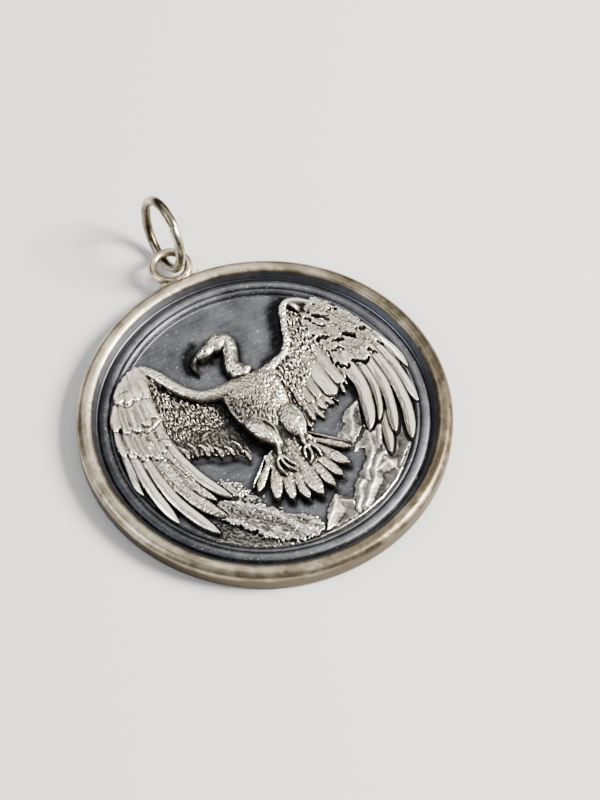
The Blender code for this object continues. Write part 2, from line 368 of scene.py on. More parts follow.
def paint_black_and_shadow(relief, points, width, amount):
    """Paints black along a path, on the relief and on the field beside it: patina left in a hollow, and
    painted shadow.
    """
    area, X, Y, _, side = beside(relief, points, 2.5 * width)
    dark = amount * np.exp(-(side / width) ** 2) * (1 + 0.35 * noise(X / 0.5, Y / 0.5, 73))
    relief.patina_and_shade[area] += dark
    relief.tone[area] -= dark * (relief.height[area] < 0.75)


def each(tool, relief, rows):
    """Uses a tool once for each row of its values."""
    for row in rows:
        tool(relief, *row)


# ---------------------------------------------------------------- textures

def fur(u, v, seed, width=0.2, length=0.55):
    """Short strokes that run along v."""
    bend = 0.25 * noise(u / 1.4, v / 1.4, seed + 5)
    coarse = (1 - np.abs(noise((u + bend) / width, v / length, seed))) ** 2
    fine = (1 - np.abs(noise(2.2 * (u + bend) / width + 7, 1.8 * v / length, seed + 1))) ** 2
    return 0.62 * coarse + 0.38 * fine - 0.42


def flow(X, Y, degrees):
    """Coordinates (u across, v along) of a texture that runs in a direction, in degrees from -Y to +X."""
    c, s = math.cos(math.radians(degrees)), math.sin(math.radians(degrees))
    return X * c + Y * s, X * s - Y * c


def strokes(degrees, amount, seed, width=0.2, length=0.55):
    """A skin of short strokes in a direction."""
    def skin(X, Y):
        u, v = flow(X, Y, degrees)
        return amount * fur(u, v, seed, width, length)

    return skin


def flecks(degrees, amount, seed, wide=0.34, long=0.5):
    """Small curled flecks, thin and bright with dark gaps between them, that run in a direction."""
    def skin(X, Y):
        bend = 0.2 * noise(X / 0.8, Y / 0.8, seed + 8)
        u, v = flow(X + bend, Y + bend, degrees)
        curl = (1 - np.abs(noise(u / wide, v / long, seed))) ** 3
        cross = (1 - np.abs(noise(1.6 * u / wide + 3, 1.2 * v / long, seed + 1))) ** 3
        distance, tone, back = cells(u / wide, v / (1.5 * long), seed + 2)
        scale = (1 - smoothstep(0.1, 0.55, distance)) * (0.2 + tone)
        return amount * (0.8 * np.maximum(curl, 0.85 * cross) + 0.7 * scale + 0.25 * back - 0.62)

    return skin


def stipple(amount, seed, size=0.16):
    """Fine pits and grains."""
    def skin(X, Y):
        u, v = X / size, Y / size
        return amount * (noise(u, v, seed) + 0.6 * noise(2.1 * u, 2.1 * v, seed + 1))

    return skin


def pits(amount, seed, size=0.42, share=0.3):
    """Scattered round pits in a softly uneven surface."""
    def skin(X, Y):
        distance, tone, _ = cells(X / size, Y / size, seed)
        holes = (tone < share) * (1 - smoothstep(0.12, 0.36, distance))
        return -amount * holes + 0.25 * amount * noise(X / 0.3, Y / 0.3, seed + 3)

    return skin


# ---------------------------------------------------------------- the picture

def smooth_sheet(X, Y, anchors):
    """A smooth height through given (x, y, height) anchors."""
    total, weight = np.zeros_like(X), np.zeros_like(X)
    for x, y, z in anchors:
        w = 1 / ((X - x) ** 2 + (Y - y) ** 2 + 0.6) ** 2
        total += z * w
        weight += w
    return total / weight


def sheet(relief, outline, anchors, skin, owner, tone=0.0, gloss=0.0, edge=EDGE):
    """A thin plate inside an outline, with its height from anchors and a surface texture."""
    outline = smooth_path([*outline, outline[0]], 5)
    area = relief.window(outline, 0.3)
    X, Y = relief.X[area], relief.Y[area]
    distance = inside_distance(outline, X, Y)
    height = smooth_sheet(X, Y, anchors) + skin(X, Y)
    relief.lay(area, height, smoothstep(0, edge, distance), owner, tone, gloss)


def left_wing(relief):
    """The wing on the left: a fringe, a specked middle and a smooth hand with six long primaries."""
    inner, own = LEFT_INNER, LEFT_WING
    # inner flight feathers, worn down and dark, with short curled tips
    sheet(relief, [(-2.8, 3.2), (-3.2, 0.5), (-3.6, -3.9), (-4.4, -3.4), (-5.3, -2.4), (-6.6, -2.1),
                   (-7.7, -1.3), (-8.9, -0.8), (-9.8, -0.5), (-11, 2), (-10.4, 4.2)],
          [(-9.8, 1, 0.4), (-7.5, 0, 0.32), (-5, 0, 0.26), (-4, -2.5, 0.2), (-7, 3, 0.36), (-3.5, 2, 0.2)],
          strokes(4, 0.18, 60, 0.16, 0.5), inner, tone=-0.42)
    fringe = dict(crown=0.2, grain=0.04, shaft=0.0, end=0.7, moat=0.25, fan=0.5, tone=0.05)
    for points, width, level in [
        ([(-10.2, 1.4), (-9.7, 0.3), (-9.95, -0.85)], 0.6, 0.6),
        ([(-9, 1.2), (-8.7, 0.2), (-8.95, -1.05)], 0.5, 0.56),
        ([(-8, 0.4), (-7.6, -0.5), (-7.9, -1.6)], 0.75, 0.54),
        ([(-7.2, 0.2), (-7.1, -0.5), (-7.25, -1.35)], 0.5, 0.5),
        ([(-6.7, -0.7), (-6.4, -1.5), (-6.65, -2.4)], 0.75, 0.5),
        ([(-5.7, -1.1), (-5.3, -1.9), (-5.4, -2.8)], 0.5, 0.42),
        ([(-4.7, -0.9), (-4.3, -1.8), (-4.4, -3)], 0.45, 0.42),
        ([(-4.3, -2.2), (-4, -3.2), (-4.1, -4.2)], 0.5, 0.36),
    ]:
        feather(relief, points, width, 0.3, level, inner, **fringe)
        nick(relief, [np.add(points[1], (-0.02, 0.05)), np.add(points[2], (0.03, 0.3))], 0.09, 0.16)
    # worn smooth beside the body
    sheet(relief, [(-6.2, 1.1), (-4.4, 1.3), (-3.5, 0.6), (-3.4, -1.1), (-4.2, -1.2), (-5.4, -0.2)],
          [(-5, 0, 0.34), (-3.8, 0.4, 0.3)], strokes(10, 0.06, 61, 0.25, 0.8), inner, tone=-0.42, edge=0.7)
    # specked coverts between the arm and the hand
    sheet(relief, [(-2.4, 4.8), (-3.2, 1.9), (-4.6, 1.5), (-6.4, 1.6), (-8, 2), (-10.4, 2),
                   (-11.2, 4.5), (-10.6, 8), (-9.6, 10.6), (-8.6, 10.6), (-6.6, 7.4), (-4.6, 5.4)],
          [(-9.6, 10, 0.7), (-10.4, 7, 0.66), (-10, 3, 0.5), (-8.6, 8, 0.46), (-7, 6, 0.38),
           (-5.4, 4.6, 0.36), (-7.4, 3, 0.42), (-4.6, 3, 0.36), (-8.6, 5, 0.46)],
          flecks(-4, 0.36, 21, 0.23, 0.56), inner, tone=-0.32)
    nick(relief, [(-9.2, 10.4), (-8.6, 9.4), (-7.9, 8), (-7, 6.7), (-6, 5.6), (-4.9, 4.8), (-3.9, 4.2),
                  (-3.3, 2.8), (-3.3, 0.8), (-3.4, -0.6)], 0.34, 0.34)
    nick(relief, [(-9.8, 3), (-8.4, 3.2), (-7.2, 2.9), (-6.4, 2.3), (-5.8, 1.9), (-5, 2), (-4.2, 1.5)],
         0.1, 0.16)
    nick(relief, [(-9.4, 6.6), (-8.7, 6), (-8, 5.8), (-7.2, 5.2)], 0.14, 0.18)
    # the hand: one smooth vane that the feather edges are drawn in
    sheet(relief, [(-9.2, 12.5), (-10.6, 12.35), (-12.2, 11.4), (-13.6, 9.9), (-14.9, 7.6), (-15.8, 5.2),
                   (-16.4, 2.6), (-16.6, 0.4), (-16.3, -1.2), (-14.8, -2.2), (-13.4, -3.4), (-12.2, -4.4),
                   (-10.8, -2.6), (-10.2, 0.6), (-10.4, 3.2), (-10, 5.5), (-9.6, 8.2), (-9, 10.5)],
          [(-9.4, 12, 0.95), (-11, 11, 0.9), (-10, 8, 0.8), (-13, 9.6, 0.76), (-12, 5, 0.76), (-15, 6, 0.66),
           (-13.5, 1, 0.66), (-16, 1, 0.58), (-12, -3, 0.55), (-14.5, -2, 0.5)],
          strokes(6, 0.03, 62, 0.5, 2.4), own, gloss=0.8)
    primaries = [
        ([(-15.7, 4.2), (-16.25, 0.8), (-16.5, -1.1), (-16.4, -2.5)], 0.95, 0),
        ([(-15, 3.4), (-15.3, -0.5), (-15.25, -3.5), (-14.75, -7.4)], 1.3, 0),
        ([(-14.1, 3), (-14.1, -1), (-13.75, -4.3), (-12.8, -7.5), (-11.5, -10.7)], 1.42, 0),
        ([(-13, 3), (-12.6, -2), (-11.8, -5.2), (-10.8, -7.6), (-9.8, -9.1)], 1.75, 0.06),
        ([(-11.9, 3), (-11.5, -1.8), (-10.8, -4.6), (-9.8, -6.9)], 1.15, 0.06),
        ([(-11.2, 3), (-10.7, -0.5), (-10.15, -3), (-9.3, -5.2), (-8.2, -7.4)], 1.3, 0),
    ]
    for i, (points, width, rough) in enumerate(primaries):
        feather(relief, points, width, 0.7 + 0.03 * (i % 2), 0.56, own, crown=0.2, end=2.4, point=0.8,
                grain=rough, gloss=0.8 - 6 * rough, barbs=0.014, shaft=0.03, keel=0.28, moat=0.3)
    plates = dict(crown=0.15, gloss=0.4, barbs=0.025, shaft=0.01, end=0.75, edge=0.28, moat=0.06, ragged=0.04)
    feather_row(relief, [(-10.9, 5), (-13, 5.6), (-15.2, 6.2)], [(-10.9, 1.7), (-12.5, 0.8), (-14.2, 1.5),
                (-15.8, 2.8)], 6, 1.35, 0.66, 0.82, own, 13, bow=0.05, **plates)
    feather_row(relief, [(-10.2, 9.4), (-12, 9.6), (-13.8, 9)], [(-10.5, 5.6), (-12.3, 4.9), (-13.8, 5),
                (-15.2, 6)], 5, 1.5, 0.74, 0.88, own, 14, bow=0.05, **plates)
    feather_row(relief, [(-9.6, 12.2), (-10.6, 12), (-11.8, 11.2)], [(-10.2, 8.2), (-11.6, 8.3),
                (-13.4, 9.2)], 4, 1.7, 0.84, 0.95, own, 15, **plates)
    swell(relief, (-10, 11.2), (1.5, 1.5), 20, 0.6, 1.04, own, gloss=0.8, edge=0.5)
    each(nick, relief, [
        ([(-13.3, 9), (-12.7, 8.4), (-12.2, 8.3), (-11.7, 8.6)], 0.12, 0.1),
        ([(-13, 10), (-12.3, 10.3), (-11.5, 10.1)], 0.14, 0.06),
        ([(-13.3, 4.3), (-12.6, 4.8), (-12.2, 4.4), (-11.2, 4.6), (-10.2, 5.2)], 0.12, 0.16),
        ([(-14.9, 3.2), (-14.4, 1.6), (-13.8, 1.6), (-13.2, 1.1), (-12.8, 0.5), (-12.2, 0.8)], 0.12, 0.18),
        ([(-11.8, 3.4), (-10.8, 2.6), (-10.2, 2.5)], 0.3, 0.08),
        ([(-12, 1), (-11.6, -0.8), (-11, -3), (-10.3, -4.8)], 0.09, 0.16),
    ])
    for points in [
        [(-12.2, 8.1), (-12.4, 6.8), (-12.9, 5.3)], [(-11.3, 8.3), (-11.4, 7), (-11.7, 5.6)],
        [(-13.4, 8.4), (-13.8, 7), (-14, 5.4)], [(-14.6, 6.4), (-15, 4.8), (-15.1, 3.2)],
        [(-13.8, 4.8), (-14, 3.2), (-14, 1.8)], [(-12.6, 4.4), (-12.8, 2.8), (-12.9, 1)],
        [(-11.5, 4.4), (-11.7, 3.2), (-12, 1.6)], [(-15.9, 2.4), (-16.1, 0.6), (-16.1, -0.8)],
        [(-14.6, 0.8), (-14.7, -1.4), (-14.6, -3.2)], [(-13.2, -0.8), (-12.9, -2.6), (-12.5, -4.2)],
    ]:
        nick(relief, points, 0.16, 0.09, 0.2)
    # painted highlights, in places rubbed wear: bright spots on the coverts and streaks down the primaries;
    # painted shade along the hand's outer edge
    each(paint_light_and_wear, relief, [
        ([(-11.2, 9.2), (-10.6, 8.7)], 0.8, 0.3), ([(-10.8, 6.8), (-10.2, 5.8)], 0.8, 0.3),
        ([(-12.9, 5.8), (-12.3, 7.6)], 0.3, 0.25), ([(-13.1, 1.8), (-12.7, 2.9)], 0.2, 0.25),
        ([(-12.4, 1.2), (-11.8, 2.3)], 0.25, 0.3),
        ([(-15.2, 3.6), (-15.1, 0.5), (-15, -1.6), (-14.9, -4)], 0.16, 0.3),
        ([(-13.4, -1.6), (-13.2, -3.6), (-12.4, -7), (-11.5, -9.6)], 0.16, 0.25),
        ([(-12, 10.6), (-13.5, 9)], 0.7, -0.12), ([(-14.6, 7.6), (-15.8, 4.2), (-16.4, 0.6)], 0.5, -0.1),
    ])


def right_wing(relief):
    """The wing on the right: long inner feathers, a specked middle and a hand with torn coverts."""
    inner, own = RIGHT_INNER, RIGHT_WING
    # long smooth inner flight feathers with rounded tips in three steps
    sheet(relief, [(2.4, 4.6), (3.4, -3.7), (4.6, -3), (5.8, -2.9), (7, -2.2), (8, -1.6), (9.2, -1.1),
                   (10.6, 0.4), (10.6, 5.4), (7, 4.8)], [(4, 0, 0.46), (6, -1, 0.46), (8, 1, 0.56),
                                                           (10, 3, 0.62), (4, 3.5, 0.5), (4, -3, 0.36),
                                                           (7, 4, 0.56)], strokes(-6, 0.07, 63, 0.16, 1.6),
          inner, tone=0.04)
    fringe = dict(crown=0.14, grain=0.03, shaft=0.0, end=0.8, moat=0.3, fan=0.4, ragged=0.06, tone=0.08)
    for points, width, level in [
        ([(3.9, -1.6), (3.7, -2.8), (3.7, -3.9)], 0.6, 0.44),
        ([(4.6, -1.2), (4.5, -2.3), (4.55, -3.3)], 0.7, 0.46),
        ([(5.5, -1), (5.4, -2.4), (5.6, -3.6)], 0.55, 0.48),
        ([(6.3, -0.4), (6.2, -1.6), (6.3, -2.7)], 0.8, 0.52),
        ([(7, -0.4), (7.1, -1.5), (7.35, -2.6)], 0.7, 0.5),
        ([(7.7, -0.4), (7.8, -1.6), (7.95, -2.7)], 0.3, 0.44),
        ([(9.8, 1), (9.5, -0.4), (9.1, -1.9)], 0.6, 0.5),
        ([(10.1, 1), (10, -0.2), (9.9, -1.2)], 0.5, 0.54),
    ]:
        feather(relief, points, width, 0.42, level, inner, **fringe)
    feather(relief, [(7.8, 4.6), (7.9, 1.5), (8.05, -1.65)], 1.75, 0.56, 0.66, inner, crown=0.1, end=0.5,
            gloss=0.4, barbs=0.03, shaft=0.02, moat=0.16, tone=0.08)
    feather(relief, [(9.2, 4.8), (9.35, 2), (9.5, -0.75)], 1.3, 0.58, 0.66, inner, crown=0.1, end=0.5,
            gloss=0.4, barbs=0.03, shaft=0.03, moat=0.12, tone=0.08)
    feather(relief, [(6.6, 3.6), (6.5, 1.2), (6.5, -0.9)], 1.1, 0.52, 0.56, inner, crown=0.08, end=0.5,
            barbs=0.03, shaft=0.02, moat=0.06)
    feather(relief, [(5.4, 2.6), (5.4, 0.5), (5.5, -1.2)], 1, 0.48, 0.52, inner, crown=0.08, end=0.5,
            barbs=0.03, shaft=0.02, moat=0.06)
    # specked coverts under the arm
    sheet(relief, [(2.4, 5), (4.4, 5.6), (6.6, 7.2), (7.6, 9.6), (8.4, 11.2), (9.2, 11), (10.3, 9.8),
                   (10.9, 8), (10.4, 5.2), (9, 3.9), (7.9, 2.7), (6.4, 1.6), (5.2, 0.4), (4.6, -1.2),
                   (3.8, -1.2), (3.3, 1)], [(9.6, 10.2, 0.5), (8.4, 9.6, 0.66), (8.8, 7, 0.66),
                                              (10, 6, 0.66), (6, 4.6, 0.74), (4.4, 2.4, 0.64),
                                              (7.4, 3.6, 0.64), (4, -0.5, 0.5)],
          flecks(-10, 0.36, 22, 0.3, 0.5), inner, tone=-0.02)
    # the hand
    sheet(relief, [(9, 12), (10.2, 12.2), (11.6, 11.4), (13.2, 9.8), (14.4, 7.9), (15.5, 5.9),
                   (16.3, 3.6), (16.8, 1.4), (16.9, -0.8), (15.9, -2.4), (14.2, -3.6), (12.2, -4.4),
                   (10.7, -2.4), (10.4, 1), (10.2, 5), (10.6, 9)], [(10, 11.6, 0.9), (10.4, 10, 0.4),
                                                                          (11.8, 9.6, 0.6), (13, 8, 0.76),
                                                                          (15, 6, 0.66), (12, 4, 0.74),
                                                                          (14, 2, 0.7), (16, 2, 0.56),
                                                                          (11, 0, 0.62), (13, -2, 0.56)],
          strokes(-4, 0.04, 64, 0.4, 1.6), own, gloss=0.5)
    primaries = [
        ([(16, 3.4), (16.75, 0.8), (16.95, -1), (16.9, -2.6)], 0.85, 0.6),
        ([(15.4, 2.8), (15.75, -1), (15.75, -4), (15.5, -7.1)], 1.15, 0.66),
        ([(14.5, 2.4), (14.75, -2), (14.3, -6), (13.5, -8.5), (12.4, -10.8)], 1.42, 0.7),
        ([(12, -3), (11.4, -6.5), (10.5, -9), (9.5, -11.2)], 1.2, 0.3),
        ([(13.5, 2), (13.5, -2.5), (12.7, -5.8), (11.3, -9.2)], 1.3, 0.74),
        ([(12.6, 2), (12.5, -2), (11.75, -4.8), (10.5, -7)], 0.95, 0.66),
        ([(11.4, 2.4), (11.25, -1.5), (10.65, -4), (9.9, -6), (9, -7.5)], 1.6, 0.76),
    ]
    for points, width, level in primaries:
        feather(relief, points, width, level, 0.56, own, crown=0.2, end=2.0, point=0.85, gloss=0.6,
                barbs=0.016, shaft=0.03, keel=0.3, moat=0.3, tone=0.1)
    plates = dict(crown=0.1, barbs=0.02, shaft=0.02, end=0.7, grain=0.05, ragged=0.2, moat=0.06, edge=0.14)
    for points, width, level in [
        ([(14.9, 5.4), (15.3, 3.6), (15.7, 1.6)], 1.3, 0.66),
        ([(13.4, 4.8), (13.9, 2.8), (14.3, 1)], 1.7, 0.7),
        ([(12, 5), (12.5, 2.6), (13.1, 0.2)], 1.8, 0.72),
        ([(10.6, 5.6), (10.7, 3.2), (10.9, 0.9)], 1.5, 0.7),
        ([(11.5, 5), (11.8, 3.6), (12, 1.3)], 1.3, 0.74),
        ([(11, 6.2), (11.3, 4.8), (11.5, 3.1)], 1.5, 0.8),
        ([(14, 8.2), (14.7, 6.4), (15.2, 4.5)], 1.4, 0.76),
        ([(12.9, 7.9), (13.5, 6), (13.9, 4.1)], 1.7, 0.84),
        ([(11.6, 8), (12, 6.2), (12.3, 4.4)], 1.7, 0.84),
        ([(10.2, 8.6), (10.5, 7), (10.8, 5.4)], 1.5, 0.8),
        ([(12.2, 10.4), (13, 9.2), (13.6, 8.1)], 1.5, 0.9),
        ([(11.4, 10), (12, 8.6), (12.4, 7.4)], 1.6, 0.9),
        ([(10.4, 9.4), (10.9, 8.2), (11.3, 6.9)], 1.4, 0.8),
    ]:
        feather(relief, points, width, level - 0.06, level + 0.06, own, **plates)
    each(nick, relief, [
        ([(11, 8.9), (11.4, 8.4), (11.9, 8), (12.3, 7.6), (12.7, 7.3)], 0.2, 0.6),
        ([(13, 8.2), (13.4, 8.4), (14, 8)], 0.14, 0.4),
        ([(10.3, 9), (10.5, 8.5), (10.7, 8)], 0.14, 0.4),
        ([(10.5, 7.9), (11, 7.2), (11.4, 6.8), (11.8, 6.7)], 0.1, 0.3),
        ([(9.9, 5.3), (10.3, 5.6), (10.8, 5.4), (11.3, 5.2)], 0.17, 0.5),
        ([(11.1, 4.5), (11.7, 4.4), (12.3, 4.2), (12.7, 4.4)], 0.17, 0.5),
        ([(12.7, 4.9), (13.2, 4.6), (13.6, 4.1), (14.1, 3.9)], 0.2, 0.55),
        ([(14.8, 4.7), (15.2, 4.3), (15.6, 4.6)], 0.16, 0.4),
        ([(10.5, 3.6), (11, 3.4), (11.5, 3.4), (12, 2.9)], 0.16, 0.45),
        ([(10.2, 4.2), (10.2, 3.2), (10, 2)], 0.08, 0.3),
        ([(9.9, 1.5), (10.4, 1.6), (10.7, 1.1), (11.1, 0.8), (11.5, 1.1)], 0.18, 0.55),
        ([(11.7, 1.2), (12.2, 1.2), (12.6, 0.7), (13, 0.4), (13.5, 0.5), (13.9, 0.9)], 0.2, 0.6),
        ([(14, 1.5), (14.4, 1.6), (14.6, 1.1), (14.9, 0.5)], 0.16, 0.5),
        ([(15.6, 2.2), (15.9, 1.6), (16.1, 0.8)], 0.12, 0.4),
    ])
    # bright rolled wrist over a hollow, sunk and painted with shade
    limb(relief, [(8.3, 10.6), (8.7, 11.3), (9.5, 11.75), (10.5, 11.45), (11.6, 10.6), (12.5, 9.9)],
         [0.6, 0.62, 0.6, 0.6, 0.5, 0.3], 0.5, [1, 1.05, 1.08, 1.04, 0.96, 0.84], own, gloss=0.7, edge=0.3)
    area = relief.window([(10.4, 10)], 3.2)
    across, down = relief.X[area] - 10.2, relief.Y[area] - 10.1
    hollow = np.exp(-(across / 1.5) ** 2 - ((down + 0.35 * across) / 0.62) ** 2)
    relief.sink(area, 0.16 * hollow)
    # painted shade in the hollow
    relief.tone[area] -= 0.36 * hollow
    # painted highlights, in places rubbed wear, along the primaries and the inner feathers
    each(paint_light_and_wear, relief, [
        ([(11.9, -0.4), (11.6, -3), (10.8, -5), (9.9, -6.8)], 0.13, 0.35),
        ([(13.6, -2.4), (13.3, -4.6), (12.2, -7.6)], 0.1, 0.3),
        ([(13.1, -1), (12.8, -3), (12, -5)], 0.1, 0.25),
        ([(14.9, -2), (14.7, -5), (13.5, -9)], 0.12, 0.25), ([(7.6, 2), (8.3, -1)], 0.6, 0.1),
        ([(4.6, 1.4), (4.6, -0.9)], 0.2, 0.3), ([(5.4, 3.8), (8.6, 5.6)], 0.5, 0.08),
    ])


def tail(relief):
    """The tail's fan, with the middle feather on top."""
    own = TAIL
    fan = [
        ((-2.5, -4.5), (-5.75, -7.5), 0.55, 0.5), ((3, -4.2), (6.3, -7.6), 0.5, 0.5),
        ((-2, -4.9), (-5.5, -8.25), 1.05, 0.62), ((2.6, -4.8), (6.15, -8.3), 0.95, 0.62),
        ((-1.4, -5.1), (-4.15, -10.05), 1.6, 0.68), ((2.1, -5), (4.95, -10.05), 1.45, 0.68),
        ((1.8, -5.6), (3.5, -11.1), 1.25, 0.72), ((-0.9, -5.6), (-2.7, -11), 1.4, 0.74),
        ((-0.3, -6), (-1.2, -11.8), 1.4, 0.78), ((1.1, -6), (2.1, -11.75), 1.3, 0.78),
        ((0.3, -5.6), (0.35, -12.1), 1.75, 0.86),
    ]
    for root, tip, width, level in fan:
        feather(relief, [root, ((root[0] + tip[0]) / 2, (root[1] + tip[1]) / 2), tip], width, level - 0.1,
                level, own, crown=0.2, grain=0.05, end=1.0, point=0.62, shaft=0.02, barbs=0.02, fan=0.45,
                moat=0.5, tone=0.06)
        # painted highlight, in places rubbed wear, down the right edge of each feather
        paint_light_and_wear(relief, [np.add(tip, (0.24 * width, 1.6)), np.add(tip, (0.3 * width, 0.5)),
                     np.add(tip, (0.05, 0.1))], 0.14, 0.4)
    sheet(relief, [(-2.9, -4.6), (-3, -6), (-2.2, -7.6), (-1, -8.4), (0.3, -8.2), (1.4, -8.3),
                   (2.7, -7.6), (3.2, -6), (2.8, -4.4), (0, -4)], [(-2.4, -6.8, 0.8), (0.3, -6, 0.95),
                                                                       (2.6, -6.8, 0.8)],
          flecks(0, 0.16, 65, 0.5, 0.6), own, tone=-0.06)


def body(relief):
    """Arms, torso, thighs, toes, neck and head, each laid over the last."""
    own = BODY
    down = strokes(-24, 0.24, 23, 0.17, 0.46)
    ruff = strokes(38, 0.21, 27, 0.17, 0.42)
    # both arms run out of the shoulders
    limb(relief, [(0.6, 3.9), (-1.4, 4.6), (-3.2, 5), (-4.7, 5.5), (-5.8, 6.5), (-6.7, 7.9), (-7.45, 9.5),
                  (-8.15, 11), (-8.9, 12)], [1.7, 1.3, 0.95, 0.78, 0.72, 0.7, 0.68, 0.66, 0.6], 0.55,
         [1.6, 1.5, 1.36, 1.24, 1.16, 1.1, 1.08, 1.06, 1], own, skin=strokes(62, 0.12, 28, 0.13, 0.36),
         tone=0.08)
    limb(relief, [(0.6, 3.6), (2.4, 4.5), (4.2, 5.25), (5.7, 5.85), (6.95, 7.25), (7.55, 8.8), (8.25, 10.3),
                  (8.8, 11.3)], [1.8, 1.2, 0.8, 0.64, 0.62, 0.6, 0.6, 0.6], 0.5,
         [1.6, 1.5, 1.32, 1.18, 1.08, 1.04, 1.02, 1], own, skin=flecks(-40, 0.16, 29, 0.24, 0.36),
         tone=0.08, edge=0.3)
    swell(relief, (0.3, -2.3), (1.7, 3.2), 0, 0.5, 1.02, own, skin=stipple(0.01, 44), tone=-0.3, gloss=0.4)
    swell(relief, (0.15, 1.9), (3.5, 4.4), 4, 0.55, 1.62, own, skin=down, tone=-0.08, edge=0.25)
    swell(relief, (0.5, 3.6), (4, 2.1), 4, 0.6, 1.66, own, skin=ruff, edge=0.3)
    swell(relief, (1.9, 2.3), (1.9, 3.4), -6, 0.9, 1.72, own, skin=flecks(-16, 0.24, 30, 0.24, 0.5),
          tone=0.1, edge=0.5)
    # painted light on the torso: darker down its left side, brighter on its right
    each(paint_light_and_wear, relief, [
        ([(-3, 3.8), (-3.1, 1.6), (-2.6, 0.2)], 1, -0.48),
        ([(-2.4, 2.6), (-1, 1.2), (0, 0)], 0.9, -0.32),
        ([(2.4, 4.2), (3.1, 2.4), (3, 0.8)], 0.7, 0.24),
        ([(4, 0.8), (3.9, -1.6), (3.6, -3)], 0.26, -0.5), ([(1, 1.6), (1.2, 0.2)], 0.3, 0.2),
        ([(0, 4.4), (2.6, 4.6)], 0.6, 0.08),
    ])
    nick(relief, [(3.5, 4.2), (3.8, 2.6), (3.9, 1), (3.8, -0.8)], 0.2, 0.3)
    # thighs, with painted shadow on their left sides and painted highlight strips on their right edges
    swell(relief, (-1.4, -2.1), (1.15, 2.9), 23, 0.7, 1.86, own, skin=strokes(19, 0.2, 24, 0.17, 0.7),
          tone=0.04, edge=0.2)
    paint_light_and_wear(relief, [(-3.1, -1.4), (-2.5, -2.9), (-1.5, -4.6)], 0.55, -0.9)
    paint_light_and_wear(relief, [(-1.5, -0.4), (-0.9, -1.8), (-0.75, -3.2), (-0.8, -4.4)], 0.34, 0.4)
    limb(relief, [(-1.5, 0.1), (-0.5, -1), (-0.05, -2.4), (-0.3, -4.4)], [0.12, 0.16, 0.18, 0.12], 0.9,
         [1.5, 1.6, 1.56, 1.3], own, gloss=0.8, tone=0.35)
    swell(relief, (2.1, -2.3), (1.42, 2.6), -2, 0.7, 1.82, own, skin=strokes(-4, 0.19, 25, 0.16, 0.4),
          edge=0.25)
    paint_light_and_wear(relief, [(0.9, -2.8), (1.2, -3.9), (1.7, -4.8)], 0.4, -0.6)
    limb(relief, [(3, -0.8), (3.3, -1.8), (3.15, -3.2), (2.5, -4.5)], [0.2, 0.3, 0.36, 0.34], 0.9,
         [1.5, 1.62, 1.6, 1.4], own, gloss=0.8, tone=0.3, edge=0.2)
    paint_light_and_wear(relief, [(3, -1), (3.3, -2), (3.1, -3.4), (2.6, -4.4)], 0.2, 0.4)
    # shanks and toes
    toes = [
        [(-0.9, -4.6), (-1.15, -5.3), (-1.35, -6)],
        [(-1.35, -5.7), (-1.9, -6.2), (-2.05, -7.1), (-1.8, -8.1)],
        [(-1.35, -5.9), (-1.35, -6.8), (-1.05, -7.6), (-0.5, -8.2)],
        [(-1.1, -5.8), (-0.85, -6.3), (-0.7, -6.9), (-0.35, -7.35)],
        [(2, -4.7), (1.85, -5.3), (1.85, -6)],
        [(1.85, -6), (1.4, -6.3), (1.2, -6.8), (1.1, -7.3)],
        [(1.95, -6.1), (1.9, -6.9), (1.65, -7.6), (1.1, -8.05)],
        [(1.95, -6), (2.45, -6.3), (2.68, -7), (2.65, -7.9)],
    ]
    for points in toes:
        bends = len(points) - 1
        thickness = 0.34 if bends == 2 else 0.25
        limb(relief, points, [thickness] * bends + [0.15], 0.85, [1.42] * bends + [1.2], own,
             skin=stipple(0.015, 45), gloss=0.6, tone=0.12)
    # neck, head and beak
    bare = pits(0.14, 46)
    limb(relief, [(0.5, 5.5), (0.3, 6.5), (0.05, 7.3), (0.4, 8.3), (0.85, 9.3), (1.1, 10.2), (0.95, 10.9)],
         [1.35, 1.2, 0.98, 0.92, 0.92, 0.95, 0.95], 0.45, [1.5, 1.46, 1.4, 1.36, 1.36, 1.38, 1.38], own,
         skin=bare, power=0.6)
    swell(relief, (0.1, 10.85), (1.85, 1.2), 6, 0.45, 1.48, own, skin=bare)
    swell(relief, (-1.55, 10.45), (1.55, 0.85), 16, 0.45, 1.34, own, skin=pits(0.1, 47, 0.36))
    swell(relief, (1.1, 5.95), (0.85, 0.6), 10, 0.8, 1.6, own, gloss=0.6)
    # the beak is painted black: patina, and painted shade on its unlit side
    limb(relief, [(-2.3, 10.65), (-3.05, 10.45), (-3.55, 9.9), (-3.72, 9.1), (-3.65, 8.3)],
         [0.5, 0.5, 0.42, 0.3, 0.16], 0.35, [0.95, 0.9, 0.8, 0.72, 0.66], own, tone=-1.6)
    # line under the ruff
    area = relief.window([(-1.2, 4.8), (2.4, 6.4)], 0.2)
    _, side, _ = along(smooth_path([(-1.1, 6), (-0.2, 5.55), (0.7, 5.25), (1.6, 5.5), (2.3, 6.1)]),
                       relief.X[area], relief.Y[area])
    relief.sink(area, 0.3 * np.exp(-(side / 0.13) ** 2))
    eye = (-1.85, 10.25)
    area = relief.window([eye], 0.5)
    reach = np.hypot(relief.X[area] - eye[0], relief.Y[area] - eye[1])
    relief.height[area] += 0.12 * np.exp(-((reach - 0.27) / 0.08) ** 2) - 0.22 * np.exp(-(reach / 0.14) ** 2)


